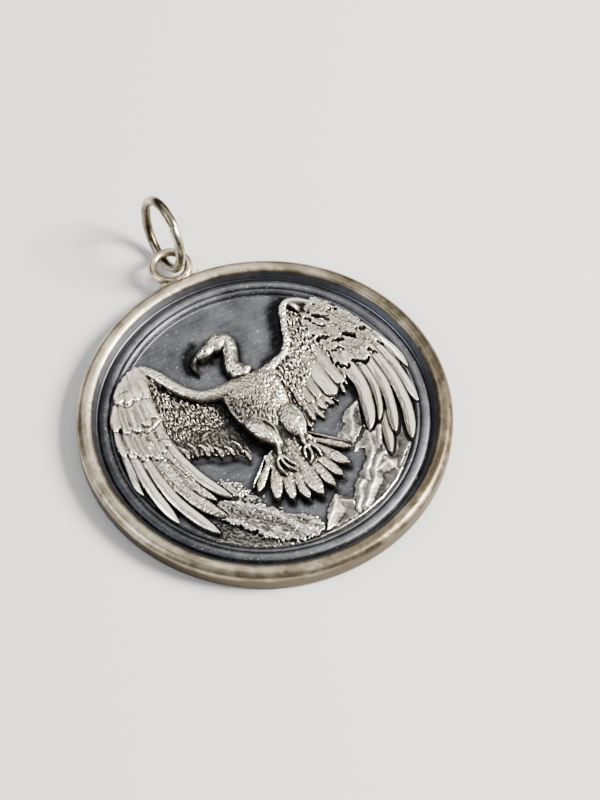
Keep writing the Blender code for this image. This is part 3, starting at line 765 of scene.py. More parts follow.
def mountain(relief, outline, ridges, fall, low, owner, skin, tone=-0.3, gloss=0.3, glow=0.6, spread=0.16,
             lit=0.2, fray=0.1, edge=0.14):
    """A mountain as planes falling away from ridge lines, kept inside its outline. Ridges are bright, as
    rubbed wear and as a painted highlight, and the faces on their left are painted brighter than those on
    their right, as painted light."""
    area = relief.window(outline, 0.2)
    X, Y = relief.X[area], relief.Y[area]
    distance = inside_distance(outline, X, Y)
    distance = distance + fray * (noise(X * 2.2, Y * 2.2, 57) + noise(X * 6, Y * 6, 56))
    height = np.full(X.shape, low)
    near = np.full(X.shape, 9)
    west = np.zeros(X.shape)
    for points, top, bottom in ridges:
        share, side, _ = along(np.asarray(points, float), X, Y)
        away = np.abs(side + 0.07 * noise(X * 1.7, Y * 1.7, 58))
        height = np.maximum(height, top + (bottom - top) * share - fall * away)
        west = np.where(away < near, np.clip(side / 0.2, -1, 1), west)
        near = np.minimum(near, away)
    height = height + skin(X, Y)
    ridge_wear_and_light = tone + lit * west + glow * np.exp(-(near / spread) ** 2) + 0.05 * noise(X * 1.3, Y * 1.3, 59)
    relief.lay(area, height, smoothstep(0, edge, distance), owner, ridge_wear_and_light, gloss)


def mountains(relief):
    """The ridge, the small peak and the land's edge on the right, and the streaked slope on the left."""
    rock = strokes(30, 0.035, 51, 0.2, 0.9)
    mountain(relief, [(10.4, -3.1), (8.6, -3.5), (7.6, -3.9), (7.3, -4.3), (7, -5.1), (6.5, -5.5),
                      (5.9, -5.6), (5.3, -6.1), (6, -7), (6.6, -7.9), (7.9, -7.3), (9.2, -6),
                      (10.8, -5)], [([(9.6, -3.5), (8.8, -3.9), (8.2, -4.8), (8, -5.5), (7.6, -6.2),
                                        (7, -6.8)], 0.55, 0.42)], 0.3, 0.08, MOUNTAIN_RIGHT, rock,
             tone=-0.22, lit=0.2)
    mountain(relief, [(9.2, -6), (8, -7.4), (7.4, -7.8), (6.6, -8.2), (6.3, -8.8), (7.2, -8.6),
                      (7.3, -9.2), (6.8, -10.2), (5.5, -11.1), (4.6, -11.9), (4, -12.4), (3.4, -13.4),
                      (2.6, -15), (2.6, -16.1), (5.6, -15.4), (9, -13.8), (12.6, -10.4), (13.4, -7),
                      (11, -5.6)], [([(9.4, -6.6), (8.6, -8), (8.2, -9.3), (7.9, -10), (7, -10.8),
                                        (6.3, -11.4), (5.7, -12.5)], 0.62, 0.5), ([(5.1, -12.5),
                                                                                   (4.4, -13.1),
                                                                                   (4, -14.1),
                                                                                   (2.9, -15.1)], 0.52, 0.4),
                                      ([(9.9, -9.9), (9.2, -10.6), (8.3, -10.8), (7.1, -11.7), (6.5, -12.9),
                                        (5.5, -13.6), (4.6, -14.6), (3.8, -15.3)], 0.6, 0.42),
                                      ([(8.7, -11.2), (8.9, -11.8), (7.2, -12)], 0.56, 0.5),
                                      ([(10.3, -7.4), (9.2, -9.4)], 0.5, 0.4)], 0.4, 0.14, MOUNTAIN_RIGHT,
             rock, tone=-0.1, lit=0.22)
    mountain(relief, [(2.9, -15.9), (3.2, -13.8), (2.6, -13), (1.9, -12.5), (1.5, -12.35), (0.3, -13.2),
                      (-0.9, -14.8), (-1.6, -15.9)], [([(1.6, -12.5), (1.2, -13.4), (0.3, -14.2),
                                                        (-0.6, -14.9), (-1.4, -15.7)], 0.55, 0.4),
                                                      ([(1.9, -13.4), (2.9, -14.2)], 0.46, 0.4)], 0.34, 0.08,
             MOUNTAIN_RIGHT, rock, tone=-0.2, lit=0.1)
    mountain(relief, [(2, -15.9), (3.2, -15.75), (6, -15.05), (8.5, -13.85), (9.8, -12.95), (9.9, -13.2),
                      (8.5, -14.3), (6, -15.5), (3.2, -16.2), (0, -16.45), (-2.4, -16.25), (-2.3, -16),
                      (0, -16.1)], [([(9.8, -13), (8.5, -14), (6, -15.2), (3.2, -15.95), (0, -16.2),
                                      (-2.3, -16.1)], 0.24, 0.24)], 0.5, 0.1, MOUNTAIN_RIGHT,
             stipple(0.012, 50), tone=-0.3, glow=0.4, lit=0, fray=0.02)
    speckled = strokes(20, 0.26, 53, 0.2, 0.4)
    mountain(relief, [(-8.9, -4.7), (-7.9, -4.5), (-7, -4.9), (-6.5, -5.6), (-5.9, -6.6), (-5.4, -7.9),
                      (-4.6, -9.3), (-5.2, -9.9), (-6.6, -9), (-7.9, -8), (-9.2, -6.2)],
             [([(-8.2, -4.9), (-7.4, -6.6), (-6.6, -7.8)], 0.34, 0.28)], 0.08, 0.08, MOUNTAIN_LEFT,
             speckled, tone=-0.3, glow=0.4, spread=0.7, lit=0, fray=0.4, edge=0.8)
    grit = strokes(34, 0.2, 52, 0.18, 0.5)
    mountain(relief, [(-9.9, -7), (-9, -6.9), (-8, -7.6), (-7, -8.5), (-5.9, -9.4), (-4.9, -10.2),
                      (-4.3, -11.1), (-3.6, -11.9), (-2.6, -12.7), (-2.1, -12.9), (-1.7, -13.4),
                      (-1.3, -14.4), (-1.1, -15.5), (-1.6, -15.9), (-3.4, -15.8), (-6.3, -14.6),
                      (-7.7, -13), (-8.9, -11.4), (-10, -9.9), (-11, -8.4)],
             [([(-10.6, -8.2), (-9.9, -9.3), (-9, -10.8), (-8, -12), (-7.2, -13), (-6.7, -13.6)],
               0.58, 0.5), ([(-8.7, -7), (-7.8, -8.4), (-6.4, -9.6), (-5.2, -11.2), (-4.6, -12.4)], 0.58,
                            0.5), ([(-6.1, -12.9), (-5.6, -13.8), (-5, -14.7)], 0.52, 0.44),
              ([(-4.3, -12.9), (-3.7, -14), (-3.2, -15.1)], 0.52, 0.44), ([(-2.4, -13), (-2.1, -14),
                                                                             (-1.5, -14.8)], 0.5, 0.42),
              ([(-2.9, -14.4), (-2.3, -15.1)], 0.48, 0.42)], 0.16, 0.14, MOUNTAIN_LEFT, grit, tone=-0.15,
             glow=0.75, spread=0.24, lit=-0.04, fray=0.22)
    mountain(relief, [(-13.4, -8.8), (-11.4, -8.4), (-10, -9.9), (-7.9, -12.9), (-6, -14.7),
                      (-3.4, -15.8), (-5.6, -15.4), (-8, -14.3), (-10.4, -12.7), (-12.4, -10.9)],
             [([(-9.4, -11.2), (-7.9, -13), (-5.6, -14.8)], 0.2, 0.18)], 0.04, 0.08, MOUNTAIN_LEFT,
             strokes(34, 0.14, 54, 0.24, 0.6), tone=-0.36, gloss=0.1, glow=0.0, lit=0)


# ---------------------------------------------------------------- meshes

def new_piece(name, points, faces, material, body_name, replaced, values, sharp_angle=None):
    """A mesh object from millimetre points that stands for a CAD node. values are saved at its vertices."""
    mesh = bpy.data.meshes.new(name)
    points = np.asarray(points, np.float64) * MM
    faces = [np.asarray(f, np.int32) for f in faces]
    mesh.vertices.add(len(points))
    mesh.vertices.foreach_set("co", points.astype(np.float32).ravel())
    corners = np.concatenate([f.ravel() for f in faces])
    totals = np.concatenate([np.full(len(f), f.shape[1], np.int32) for f in faces])
    mesh.loops.add(len(corners))
    mesh.loops.foreach_set("vertex_index", corners)
    mesh.polygons.add(len(totals))
    mesh.polygons.foreach_set("loop_start", np.r_[0, np.cumsum(totals)[:-1]].astype(np.int32))
    mesh.polygons.foreach_set("loop_total", totals)
    for key, value in values.items():
        attribute = mesh.attributes.new(key, "FLOAT", "POINT")
        attribute.data.foreach_set("value", np.asarray(value, np.float32))
    mesh.update(calc_edges=True)
    mesh.validate()
    mesh.shade_smooth()
    if sharp_angle:
        mesh.set_sharp_from_angle(angle=math.radians(sharp_angle))
    mesh.materials.append(material)
    piece = bpy.data.objects.new(name, mesh)
    bpy.context.scene.collection.objects.link(piece)
    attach(piece, body_name)
    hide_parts(replaced)


def grid_quads(rows, columns, rows_close=True, columns_close=True):
    """Quads over a grid of points whose last row and last column join the first, where they close."""
    i, j = np.meshgrid(np.arange(rows if rows_close else rows - 1),
                       np.arange(columns if columns_close else columns - 1), indexing="ij")
    here, there = i * columns, (i + 1) % rows * columns
    side = (j + 1) % columns
    return np.stack([here + j, there + j, there + side, here + side], -1).reshape(-1, 4)


def turned(profile, steps):
    """Radius, height, angle and quads of a surface turned about Z from a closed loop of (radius, z)."""
    profile = np.asarray(profile, float)
    angle = np.linspace(0, 2 * math.pi, steps, endpoint=False)
    radius = np.repeat(profile[None, :, 0], steps, 0)
    z = np.repeat(profile[None, :, 1], steps, 0)
    theta = np.repeat(angle[:, None], len(profile), 1)
    return radius, z, theta, grid_quads(steps, len(profile))


def rounded_profile(corners, steps=5):
    """A closed profile whose (radius, z, rounding) corners are rounded off."""
    out = []
    count = len(corners)
    for k in range(count):
        p = np.array(corners[k][:2], float)
        before = np.array(corners[k - 1][:2], float) - p
        after = np.array(corners[(k + 1) % count][:2], float) - p
        cut = corners[k][2]
        if cut <= 0:
            out.append(p)
            continue
        a = p + before / np.linalg.norm(before) * cut
        b = p + after / np.linalg.norm(after) * cut
        for t in np.linspace(0, 1, steps):
            out.append((1 - t) ** 2 * a + 2 * t * (1 - t) * p + t * t * b)
    return out


def refined(profile, longest):
    """The closed profile with points added so that no side is longer than the given length."""
    out = []
    for a, b in zip(profile, profile[1:] + profile[:1]):
        pieces = max(1, int(np.ceil(np.linalg.norm(np.subtract(b, a)) / longest)))
        out += [tuple(np.add(a, np.subtract(b, a) * k / pieces)) for k in range(pieces)]
    return out


def place(radius, z, theta):
    """Points from their radius, height and angle."""
    return np.stack([radius * np.cos(theta), radius * np.sin(theta), z], -1).reshape(-1, 3)


def relief_piece(relief, wear_and_light, name, owner, material, replaced):
    """A closed mesh of the grid cells that belong to one piece, down to just under the field."""
    top = relief.height
    solid = top > THINNEST
    own = (relief.owner == owner) & solid
    corner = own[:-1, :-1] | own[1:, :-1] | own[:-1, 1:] | own[1:, 1:]
    first = np.maximum.reduce([
        np.where(solid[a, b], relief.owner[a, b], 0)
        for a in (slice(None, -1), slice(1, None)) for b in (slice(None, -1), slice(1, None))])
    cell = corner & (first == owner)
    rows, cols = np.nonzero(cell)
    width = top.shape[1]
    a = rows * width + cols
    quads = np.stack([a, a + 1, a + 1 + width, a + width], -1)
    used = np.unique(quads)
    index = np.full(top.size, -1, np.int64)
    index[used] = np.arange(len(used))
    quads = index[quads]
    x, y = relief.X.ravel()[used], relief.Y.ravel()[used]
    height = top.ravel()[used]
    upper = np.stack([x, y, dish(x, y) + np.where(height > 0.004, height, -SUNK)], -1)
    lower = np.stack([x, y, np.full(len(x), FIELD_Z - RELIEF_FOOT)], -1)
    ends = np.concatenate([quads[:, [0, 1]], quads[:, [1, 2]], quads[:, [2, 3]], quads[:, [3, 0]]])
    key = np.sort(ends, axis=1)
    _, back, count = np.unique(key, axis=0, return_inverse=True, return_counts=True)
    border = ends[count[back.reshape(-1)] == 1]
    n = len(used)
    sides = np.stack([border[:, 1], border[:, 0], border[:, 0] + n, border[:, 1] + n], -1)
    floor = quads[:, ::-1] + n
    vertex_wear_and_light = wear_and_light.ravel()[used]
    new_piece(name, np.vstack([upper, lower]), [quads, floor, sides], material, "medal", replaced,
              {"wear_and_light": np.r_[vertex_wear_and_light, vertex_wear_and_light]})


# ---------------------------------------------------------------- materials

def node(tree, kind, **inputs):
    """A shader node with its inputs set to values, or linked to other nodes' outputs."""
    made = tree.nodes.new(kind)
    for key, value in inputs.items():
        key = key.replace("_", " ")
        if hasattr(value, "is_output"):
            tree.links.new(value, made.inputs[key])
        else:
            made.inputs[key].default_value = value
    return made


def math_node(tree, operation, a, b=0.0, clamp=False):
    """The output of a math node on two values or outputs."""
    made = tree.nodes.new("ShaderNodeMath")
    made.operation = operation
    made.use_clamp = clamp
    for socket, value in zip(made.inputs, (a, b)):
        if hasattr(value, "is_output"):
            tree.links.new(value, socket)
        else:
            socket.default_value = value
    return made.outputs[0]


def plus(tree, value, by, amount, middle=0.5, clamp=False):
    """value, plus an amount of another value about its middle."""
    if middle:
        by = math_node(tree, "SUBTRACT", by, middle)
    return math_node(tree, "ADD", value, math_node(tree, "MULTIPLY", by, amount), clamp)


def bump_with(tree, height, distance):
    """Gives the material's shader a bump of a height in metres."""
    bumped = node(tree, "ShaderNodeBump", Height=height, Distance=distance)
    tree.links.new(bumped.outputs[0], tree.nodes["Principled BSDF"].inputs["Normal"])


def ramp(tree, factor, stops):
    """The output of a colour ramp with (position, colour) stops."""
    made = tree.nodes.new("ShaderNodeValToRGB")
    tree.links.new(factor, made.inputs[0])
    points = made.color_ramp.elements
    while len(points) < len(stops):
        points.new(0.5)
    for point, (where, colour) in zip(points, stops):
        point.position = where
        point.color = (*colour, 1.0)
    return made.outputs[0]


def attribute(tree, name):
    """A value saved at the mesh's vertices."""
    made = tree.nodes.new("ShaderNodeAttribute")
    made.attribute_name = name
    return made.outputs["Fac"]


def grain(tree, scale, detail=4.0, roughness=0.6, stretch=None):
    """Noise in the object's own space, with its scale per metre."""
    where = tree.nodes.new("ShaderNodeTexCoord").outputs["Object"]
    if stretch:
        mapping = tree.nodes.new("ShaderNodeMapping")
        tree.links.new(where, mapping.inputs[0])
        mapping.inputs["Scale"].default_value = stretch
        where = mapping.outputs[0]
    made = node(tree, "ShaderNodeTexNoise", Vector=where, Scale=scale, Detail=detail, Roughness=roughness)
    return made.outputs[0]


def start_material(name):
    """A new metal, its node tree and its shader."""
    material = bpy.data.materials.new(name)
    material.use_nodes = True
    tree = material.node_tree
    shader = tree.nodes["Principled BSDF"]
    shader.inputs["Metallic"].default_value = 1.0
    return material, tree, shader


def patina_metal(name, dark, middle, bright, rough_dark, rough_bright):
    """Metal blackened in its recesses and rubbed bright on its heights, by the mesh's own value of wear and
    painted light, which also holds painted highlights and painted shade.
    """
    material, tree, shader = start_material(name)
    wear_and_light = attribute(tree, "wear_and_light")
    mottle = grain(tree, 1400, 5)
    fine = grain(tree, 9000, 3)
    shifted = plus(tree, plus(tree, wear_and_light, mottle, 0.5), fine, 0.35, clamp=True)
    between = [0.45 * d + 0.55 * m for d, m in zip(dark, middle)]
    tree.links.new(ramp(tree, shifted, [(0.0, dark), (0.3, between), (0.55, middle), (0.85, bright)]),
                   shader.inputs["Base Color"])
    rough = ramp(tree, shifted, [(0.0, (rough_dark,) * 3), (0.8, (rough_bright,) * 3)])
    tree.links.new(plus(tree, rough, fine, 0.16, clamp=True), shader.inputs["Roughness"])
    bump_with(tree, math_node(tree, "ADD", fine, mottle), 0.00001)
    return material


def worn_metal(name, shade, base, bright, rough):
    """Tumbled pale metal with faint stains, rubbed edges and hairline scratches."""
    material, tree, shader = start_material(name)
    stains = grain(tree, 260, 5, 0.65)
    clouds = grain(tree, 900, 4, 0.6)
    hair = grain(tree, 4200, 2, 0.5, (1.0, 0.12, 1.0))
    wear_and_light = attribute(tree, "wear_and_light")
    mix = plus(tree, math_node(tree, "MULTIPLY", stains, 0.7), clouds, 0.4, middle=0)
    mix = plus(tree, mix, wear_and_light, 0.9, clamp=True)
    tree.links.new(ramp(tree, mix, [(0.22, shade), (0.5, base), (0.8, bright)]), shader.inputs["Base Color"])
    varied = plus(tree, math_node(tree, "ADD", math_node(tree, "MULTIPLY", clouds, 0.22), rough - 0.11),
                  hair, 0.08, middle=0)
    tree.links.new(varied, shader.inputs["Roughness"])
    bump_with(tree, math_node(tree, "ADD", hair, clouds), 0.000006)
    return material


def field_metal():
    """Gunmetal field with faint straight build lines, clouded satin and tiny bright grains."""
    material, tree, shader = start_material("field_gunmetal")
    wear_and_light = attribute(tree, "wear_and_light")
    clouds = grain(tree, 500, 5, 0.6)
    fine = grain(tree, 6500, 3, 0.6)
    lines = grain(tree, 5200, 2, 0.5, (0.05, 1.0, 1.0))
    specks = ramp(tree, grain(tree, 3600, 2, 0.5), [(0.63, (0, 0, 0)), (0.72, (1, 1, 1))])
    mix = plus(tree, plus(tree, wear_and_light, clouds, 0.5), lines, 0.25)
    mix = plus(tree, mix, specks, 0.3, middle=0, clamp=True)
    tree.links.new(ramp(tree, mix, [(0.0, (0.007, 0.007, 0.008)), (0.35, (0.058, 0.06, 0.067)),
                                    (0.6, (0.135, 0.14, 0.153)), (0.82, (0.2, 0.205, 0.215)),
                                    (1.0, (0.4, 0.4, 0.4))]),
                   shader.inputs["Base Color"])
    rough = math_node(tree, "ADD", math_node(tree, "MULTIPLY", clouds, 0.2), 0.34)
    tree.links.new(rough, shader.inputs["Roughness"])
    height = plus(tree, math_node(tree, "MULTIPLY", lines, 0.7), fine, 0.5, middle=0)
    bump_with(tree, plus(tree, height, specks, 1.2, middle=0), 0.000012)
    return material


# ---------------------------------------------------------------- rim, field, eyelet and ring

def build_rim():
    """The turned rim, with rubbed edges, the inner one also a painted highlight line, one side painted darker
    as painted shade, painted shadow on the lower outer wall and an inner wall blackened and painted with
    shade.
    """
    corners = [
        (WALL_FOOT_RADIUS, FIELD_Z + 0.28, 0.0), (WALL_FOOT_RADIUS + 0.06, FIELD_Z + 0.42, 0.1),
        (WALL_TOP_RADIUS, RIM_TOP - 0.2, 0.12),
        (19.5, RIM_TOP, 0.3), (20.2, RIM_TOP, 0.3), (RIM_RADIUS, RIM_TOP - 0.5, 0.32),
        (RIM_RADIUS, 0.0, 0.42), (PLATE_RADIUS + 0.04, 0.0, 0.06), (PLATE_RADIUS + 0.04, FIELD_Z + 0.25, 0.0),
    ]
    profile = refined([tuple(p) for p in rounded_profile(corners, 9)], 0.14)
    radius, z, theta, quads = turned(profile, RIM_STEPS)
    x, y = radius * np.cos(theta), radius * np.sin(theta)
    wobble = 0.016 * noise(theta * 5.1, z * 0.7, 71) + 0.008 * noise(theta * 23, z * 2, 72)
    upper = smoothstep(FIELD_Z, RIM_TOP, z)
    inner = 1 - smoothstep(19.0, 19.8, radius)
    nicks = np.clip(noise(x * 2.2, y * 2.2, 73) - 0.55, 0, 1) * 0.09 * upper
    radius = radius + inner * wobble * upper - (1 - inner) * np.abs(wobble) * 0.4
    z = z - upper * (0.012 * (1 + noise(x * 0.7, y * 0.7, 74)) + nicks)
    # a bright line along the inner edge of the top: rubbed wear, and a painted highlight
    edge = np.exp(-((radius - RIM_EDGE_RADIUS) / 0.16) ** 2) * smoothstep(RIM_TOP - 0.3, RIM_TOP, z)
    # the lower outer wall is painted darker: painted shadow
    side = smoothstep(20.4, 20.7, radius) * (1 - smoothstep(0.8, 2.3, z))
    # one side of the rim, towards -30 degrees, is painted darker: painted shade
    one_side_shade = np.clip(np.cos(theta + math.radians(30)), -0.2, 1)
    wear_and_light = 0.5 + 0.3 * edge + 0.14 * noise(x * 0.5, y * 0.5, 75) - 0.75 * side - 0.3 * one_side_shade
    # the inner wall is dark: blackening, and painted shade in the recess
    wall = (1 - smoothstep(18.75, 19.2, radius)) * smoothstep(0.2, 0.6, z)
    wear_and_light = wear_and_light * (1 - wall) + wall * 0.02
    new_piece("rim", place(radius, z, theta), [quads], rim_metal(), "medal", "rim_ring",
              {"wear_and_light": wear_and_light.ravel(), "patina_and_shade": wall.ravel()})


def rim_metal():
    """Worn pale metal that turns to the dark wall inside the rim, blackened and painted with shade, by the
    mesh's value of that blackening and shade.
    """
    colours = (0.08, 0.064, 0.04), (0.25, 0.21, 0.145), (0.6, 0.53, 0.4)
    material = worn_metal("rim_nickel_silver", *colours, 0.33)
    tree = material.node_tree
    shader = tree.nodes["Principled BSDF"]
    pale = shader.inputs["Base Color"].links[0].from_socket
    patina_and_shade = plus(tree, attribute(tree, "patina_and_shade"), grain(tree, 1500, 4), 0.35, clamp=True)
    mix = tree.nodes.new("ShaderNodeMix")
    mix.data_type = "RGBA"
    tree.links.new(ramp(tree, patina_and_shade, [(0.15, (0, 0, 0)), (0.6, (1, 1, 1))]), mix.inputs[0])
    tree.links.new(pale, mix.inputs[6])
    mix.inputs[7].default_value = (0.115, 0.12, 0.136, 1)
    tree.links.new(mix.outputs[2], shader.inputs["Base Color"])
    return material


def dish(x, y):
    """The field's height: a shallow dish."""
    return FIELD_Z - DISH_DEPTH * (1 - np.clip(np.hypot(x, y) / RELIEF_RADIUS, 0, 1) ** 2)


def build_field(relief, shade):
    """The plate under the relief, with the stepped moulding round it. shade is the black patina and the
    painted shadow beside the relief.
    """
    edge = [(16.15, FIELD_Z), (16.28, FIELD_Z + 0.06), (16.42, FIELD_Z + 0.03), (16.62, FIELD_Z + 0.2),
            (16.85, FIELD_Z + 0.36), (17.0, FIELD_Z + 0.35), (17.12, FIELD_Z + 0.33), (17.3, FIELD_Z + 0.45),
            (17.6, FIELD_Z + 0.54), (17.9, FIELD_Z + 0.5), (18.15, FIELD_Z + 0.4), (18.3, FIELD_Z + 0.26),
            (PLATE_RADIUS, FIELD_Z + 0.2)]
    rings = smooth_path(edge, 4)
    inner = [(r, FIELD_Z) for r in np.linspace(0.06, 16.0, 100)]
    corner = [(PLATE_RADIUS, 0.06), (PLATE_RADIUS - 0.06, 0.0)]
    under = [(r, 0.0) for r in np.linspace(17.0, 0.06, 14)]
    profile = inner + [tuple(p) for p in rings] + corner + under
    radius, z, theta, quads = turned(profile[::-1], FIELD_STEPS)
    x, y = radius * np.cos(theta), radius * np.sin(theta)
    top = z > FIELD_Z / 2
    z = np.where(top & (radius < FLAT_RADIUS), dish(x, y), z)
    z = z + np.where(top & (radius > 16.0), 0.012 * noise(theta * 9, radius * 1.3, 81), 0)
    z = z + np.where(top, 0.006 * fractal(x * 1.2, y * 1.2, 82), 0)
    col = np.clip(((x - relief.xs[0]) / PITCH).astype(int), 0, len(relief.xs) - 1)
    row = np.clip(((y - relief.ys[0]) / PITCH).astype(int), 0, len(relief.ys) - 1)
    wear_and_light = 0.5 - 1.7 * shade[row, col] + 0.08 * noise(x * 0.4, y * 0.4, 83)
    # the moulding's crests are brighter, as rubbed wear and as painted highlight lines, and its grooves are
    # black with patina
    crest = np.exp(-((radius - 17.6) / 0.16) ** 2) + 0.7 * np.exp(-((radius - 16.9) / 0.1) ** 2)
    # a thin painted highlight ring at the field's edge, on the lower side only
    crest = crest + 0.8 * np.exp(-((radius - 16.28) / 0.07) ** 2) * (np.sin(theta) < -0.5)
    groove = smoothstep(18.05, 18.3, radius) + np.exp(-((radius - 17.15) / 0.1) ** 2)
    groove = groove + np.exp(-((radius - 16.5) / 0.12) ** 2)
    # the moulding is painted darker on the left: painted shade
    left_side_shade = 0.2 * smoothstep(0.3, 0.9, -np.cos(theta + math.radians(12)))
    wear_and_light = np.where(radius > RELIEF_RADIUS, 0.48 + 0.12 * crest - 0.4 * groove - left_side_shade, wear_and_light)
    wear_and_light = np.where(top, wear_and_light, 0.75)
    new_piece("field", place(radius, z, theta), [quads], field_metal(), "medal", "field_plate",
              {"wear_and_light": np.clip(wear_and_light, 0, 1).ravel()})


def build_eyelet():
    """A bent wire eye, and the solder that runs from its feet along the rim."""
    centre_z = (EYELET_LOW.z + EYELET_HIGH.z) / 2
    major = EYELET_HIGH.y - EYELET_WIRE - EYELET_Y
    around, ring = 96, 28
    a = np.linspace(0, 2 * math.pi, around, endpoint=False)[:, None]
    b = np.linspace(0, 2 * math.pi, ring, endpoint=False)[None, :]
    wobble = 0.012 * noise(a * 3 + 0 * b, b * 1.2 + 0 * a, 91)
    reach = major + EYELET_WIRE * np.cos(b)
    x = EYELET_X + reach * np.cos(a) + wobble * np.cos(a)
    y = EYELET_Y + reach * np.sin(a) + wobble * np.sin(a)
    z = centre_z + EYELET_WIRE * np.sin(b) + wobble * np.sin(b)
    points = np.stack([x, y, z], -1).reshape(-1, 3)
    metal = worn_metal("eyelet_nickel_silver", (0.12, 0.1, 0.06), (0.38, 0.325, 0.22), (0.76, 0.68, 0.5),
                       0.27)
    wear_and_light = 0.58 + 0.1 * noise(points[:, 0] * 2, points[:, 1] * 2, 92)
    wear_and_light = wear_and_light - 0.35 * (np.clip(-np.cos(b), 0, 1) + 0 * a).ravel()
    new_piece("eyelet_wire", points, [grid_quads(around, ring)], metal, "medal", "eyelet",
              {"wear_and_light": wear_and_light})
    for name, side, lift, length, depth in [
        ("solder_left", -1.5, -0.16, 1.25, 0.42), ("solder_right", 1.5, -0.16, 1.25, 0.42),
        ("solder_middle", 0.0, 0.15, 1.5, 0.52),
    ]:
        build_solder(name, EYELET_X + side, centre_z, lift, length, depth, metal)


def build_solder(name, x, z, lift, length, depth, metal):
    """A puddle of solder that runs along the rim's edge and up the eyelet's foot."""
    around, ring = 40, 24
    a = np.linspace(0, 2 * math.pi, around, endpoint=False)[:, None]
    b = np.linspace(-math.pi / 2, math.pi / 2, ring)[None, :]
    lumps = 1 + 0.07 * noise(2 * np.cos(a) + 3 * x, 2 * np.sin(a) + b, 93)
    u = length * lumps * np.cos(a) * np.cos(b)
    v = depth * lumps * np.sin(a) * np.cos(b)
    px = x + u
    py = np.sqrt(RIM_RADIUS**2 - px**2) - (0.02 if lift < 0 else 0.2) + v * (1 - 0.5 * (u / length) ** 2)
    pz = z + lift + 0.4 * lumps * np.sin(b) + 0 * a
    points = np.stack([px, py, pz], -1).reshape(-1, 3)
    wear_and_light = 0.45 + 0.25 * noise(points[:, 0] * 2, points[:, 1] * 2, 94)
    quads = grid_quads(around, ring, columns_close=False)
    new_piece(name, points, [quads], metal, "medal", "eyelet", {"wear_and_light": wear_and_light})


def build_jump_ring():
    """The wire ring with its butt cut, standing as in the frame."""
    radius = (RING_HIGH.y - RING_LOW.y) / 2 - RING_WIRE
    centre = (np.array(RING_LOW) + np.array(RING_HIGH)) / 2
    half_gap = 0.008
    around, ring = 200, 28
    a = np.linspace(RING_CUT + half_gap, RING_CUT + 2 * math.pi - half_gap, around)[:, None]
    b = np.linspace(0, 2 * math.pi, ring, endpoint=False)[None, :]
    share = np.linspace(0, 1, around)[:, None]
    near_end = np.exp(-(share / 0.012) ** 2) + np.exp(-((1 - share) / 0.012) ** 2)
    offset = 0.05 * (np.exp(-((1 - share) / 0.05) ** 2) - np.exp(-(share / 0.05) ** 2))
    thick = RING_WIRE * (1 - 0.05 * near_end) + 0.008 * noise(a * 4 + 0 * b, b * 1.5 + 0 * a, 95)
    u = radius + thick * np.cos(b)
    side = thick * np.sin(b) + offset
    y, z = u * np.cos(a), u * np.sin(a)
    c, s = math.cos(RING_LEAN), math.sin(RING_LEAN)
    points = np.stack([side * c + z * s, y, -side * s + z * c], -1).reshape(-1, 3)
    quads = grid_quads(around, ring, rows_close=False)
    caps = [np.arange(ring)[None, :], np.arange((around - 1) * ring, around * ring)[None, ::-1]]
    metal = worn_metal("ring_wire", (0.08, 0.07, 0.045), (0.3, 0.27, 0.195), (0.72, 0.66, 0.54), 0.24)
    wear_and_light = 0.56 + 0.12 * noise(points[:, 1] * 1.5, points[:, 2] * 1.5, 96)
    wear_and_light = wear_and_light - (0.4 * np.clip(-np.cos(b), 0, 1) + 0.35 * smoothstep(0.75, 1.0, np.sin(a))).ravel()
    new_piece("wire_ring", points + centre, [quads, *caps], metal, "jump_ring", "jump_ring",
              {"wear_and_light": wear_and_light}, sharp_angle=50)


# ---------------------------------------------------------------- relief pieces

def paint_hollows_and_shadows(relief):
    """Paints black round the bird: patina where a cloth would not reach, and painted cast shadows on the
    field, mostly to the left of and below the raised parts.
    """
    each(paint_black_and_shadow, relief, [
        ([(-2.4, 12.3), (-3.4, 11.6), (-4.0, 10.6), (-4.2, 9.4)], 0.5, 0.34),
        ([(-1.6, 9.2), (-0.8, 8.6), (-1.0, 7.4)], 0.4, 0.2),
        ([(3.4, 6.2), (5.3, 7.1), (6.2, 8.6), (7, 10.4), (7.7, 12), (9, 12.7), (10.8, 12.3)], 0.6, 0.32),
        ([(-3.6, 3.8), (-3.8, 1.2), (-3.4, -1.0), (-2.8, -3.2), (-1.8, -4.8)], 0.5, 0.5),
        ([(0.7, -3.0), (0.9, -4.0), (1.3, -5.1)], 0.4, 0.5),
        ([(9.9, -0.9), (10.2, -2.2), (9.9, -4.0)], 0.4, 0.4),
        ([(-9.5, -1.4), (-8.0, -2.0), (-6.8, -2.9), (-5.4, -3.2), (-4.4, -4.4)], 0.3, 0.24),
    ])
    for x, y in [
        (-4.2, -10.3), (-2.8, -11.3), (-1.3, -12.0), (0.2, -12.3), (1.9, -12.0), (3.3, -11.4), (4.7, -10.3),
    ]:
        paint_black_and_shadow(relief, [(x - 0.2, y + 0.3), (x, y)], 0.42, 0.34)


def finish_of(relief):
    """How bright each grid point is, from black 0 to bright 1, by wear and by painted light, and how dark the
    field is beside the relief, by patina and by painted shadow.

    High places are bright, at the scale of a barb (near) and of a limb (wide); the tone adds painted
    highlights and painted shade, and steep walls are painted black, as patina and as painted shade."""
    height = relief.height
    slope = np.hypot(*np.gradient(height, PITCH))
    near = (height - blurred(height, 0.14)) / 0.05
    wide = (height - blurred(height, 0.7)) / 0.45
    steep = smoothstep(0.9, 2.2, slope)
    wear_and_light = 0.46 + 0.42 * np.clip(near, -1.6, 1.2) * (1 - 0.4 * relief.gloss) + 0.34 * np.clip(wide, -1.2, 1)
    wear_and_light = wear_and_light + 0.12 * relief.gloss + relief.tone
    wear_and_light = np.clip(wear_and_light, 0, 1) * (1 - 0.9 * steep)
    shade = np.clip(blurred(height, 0.35) - height + relief.patina_and_shade, 0, 1)
    return wear_and_light, shade


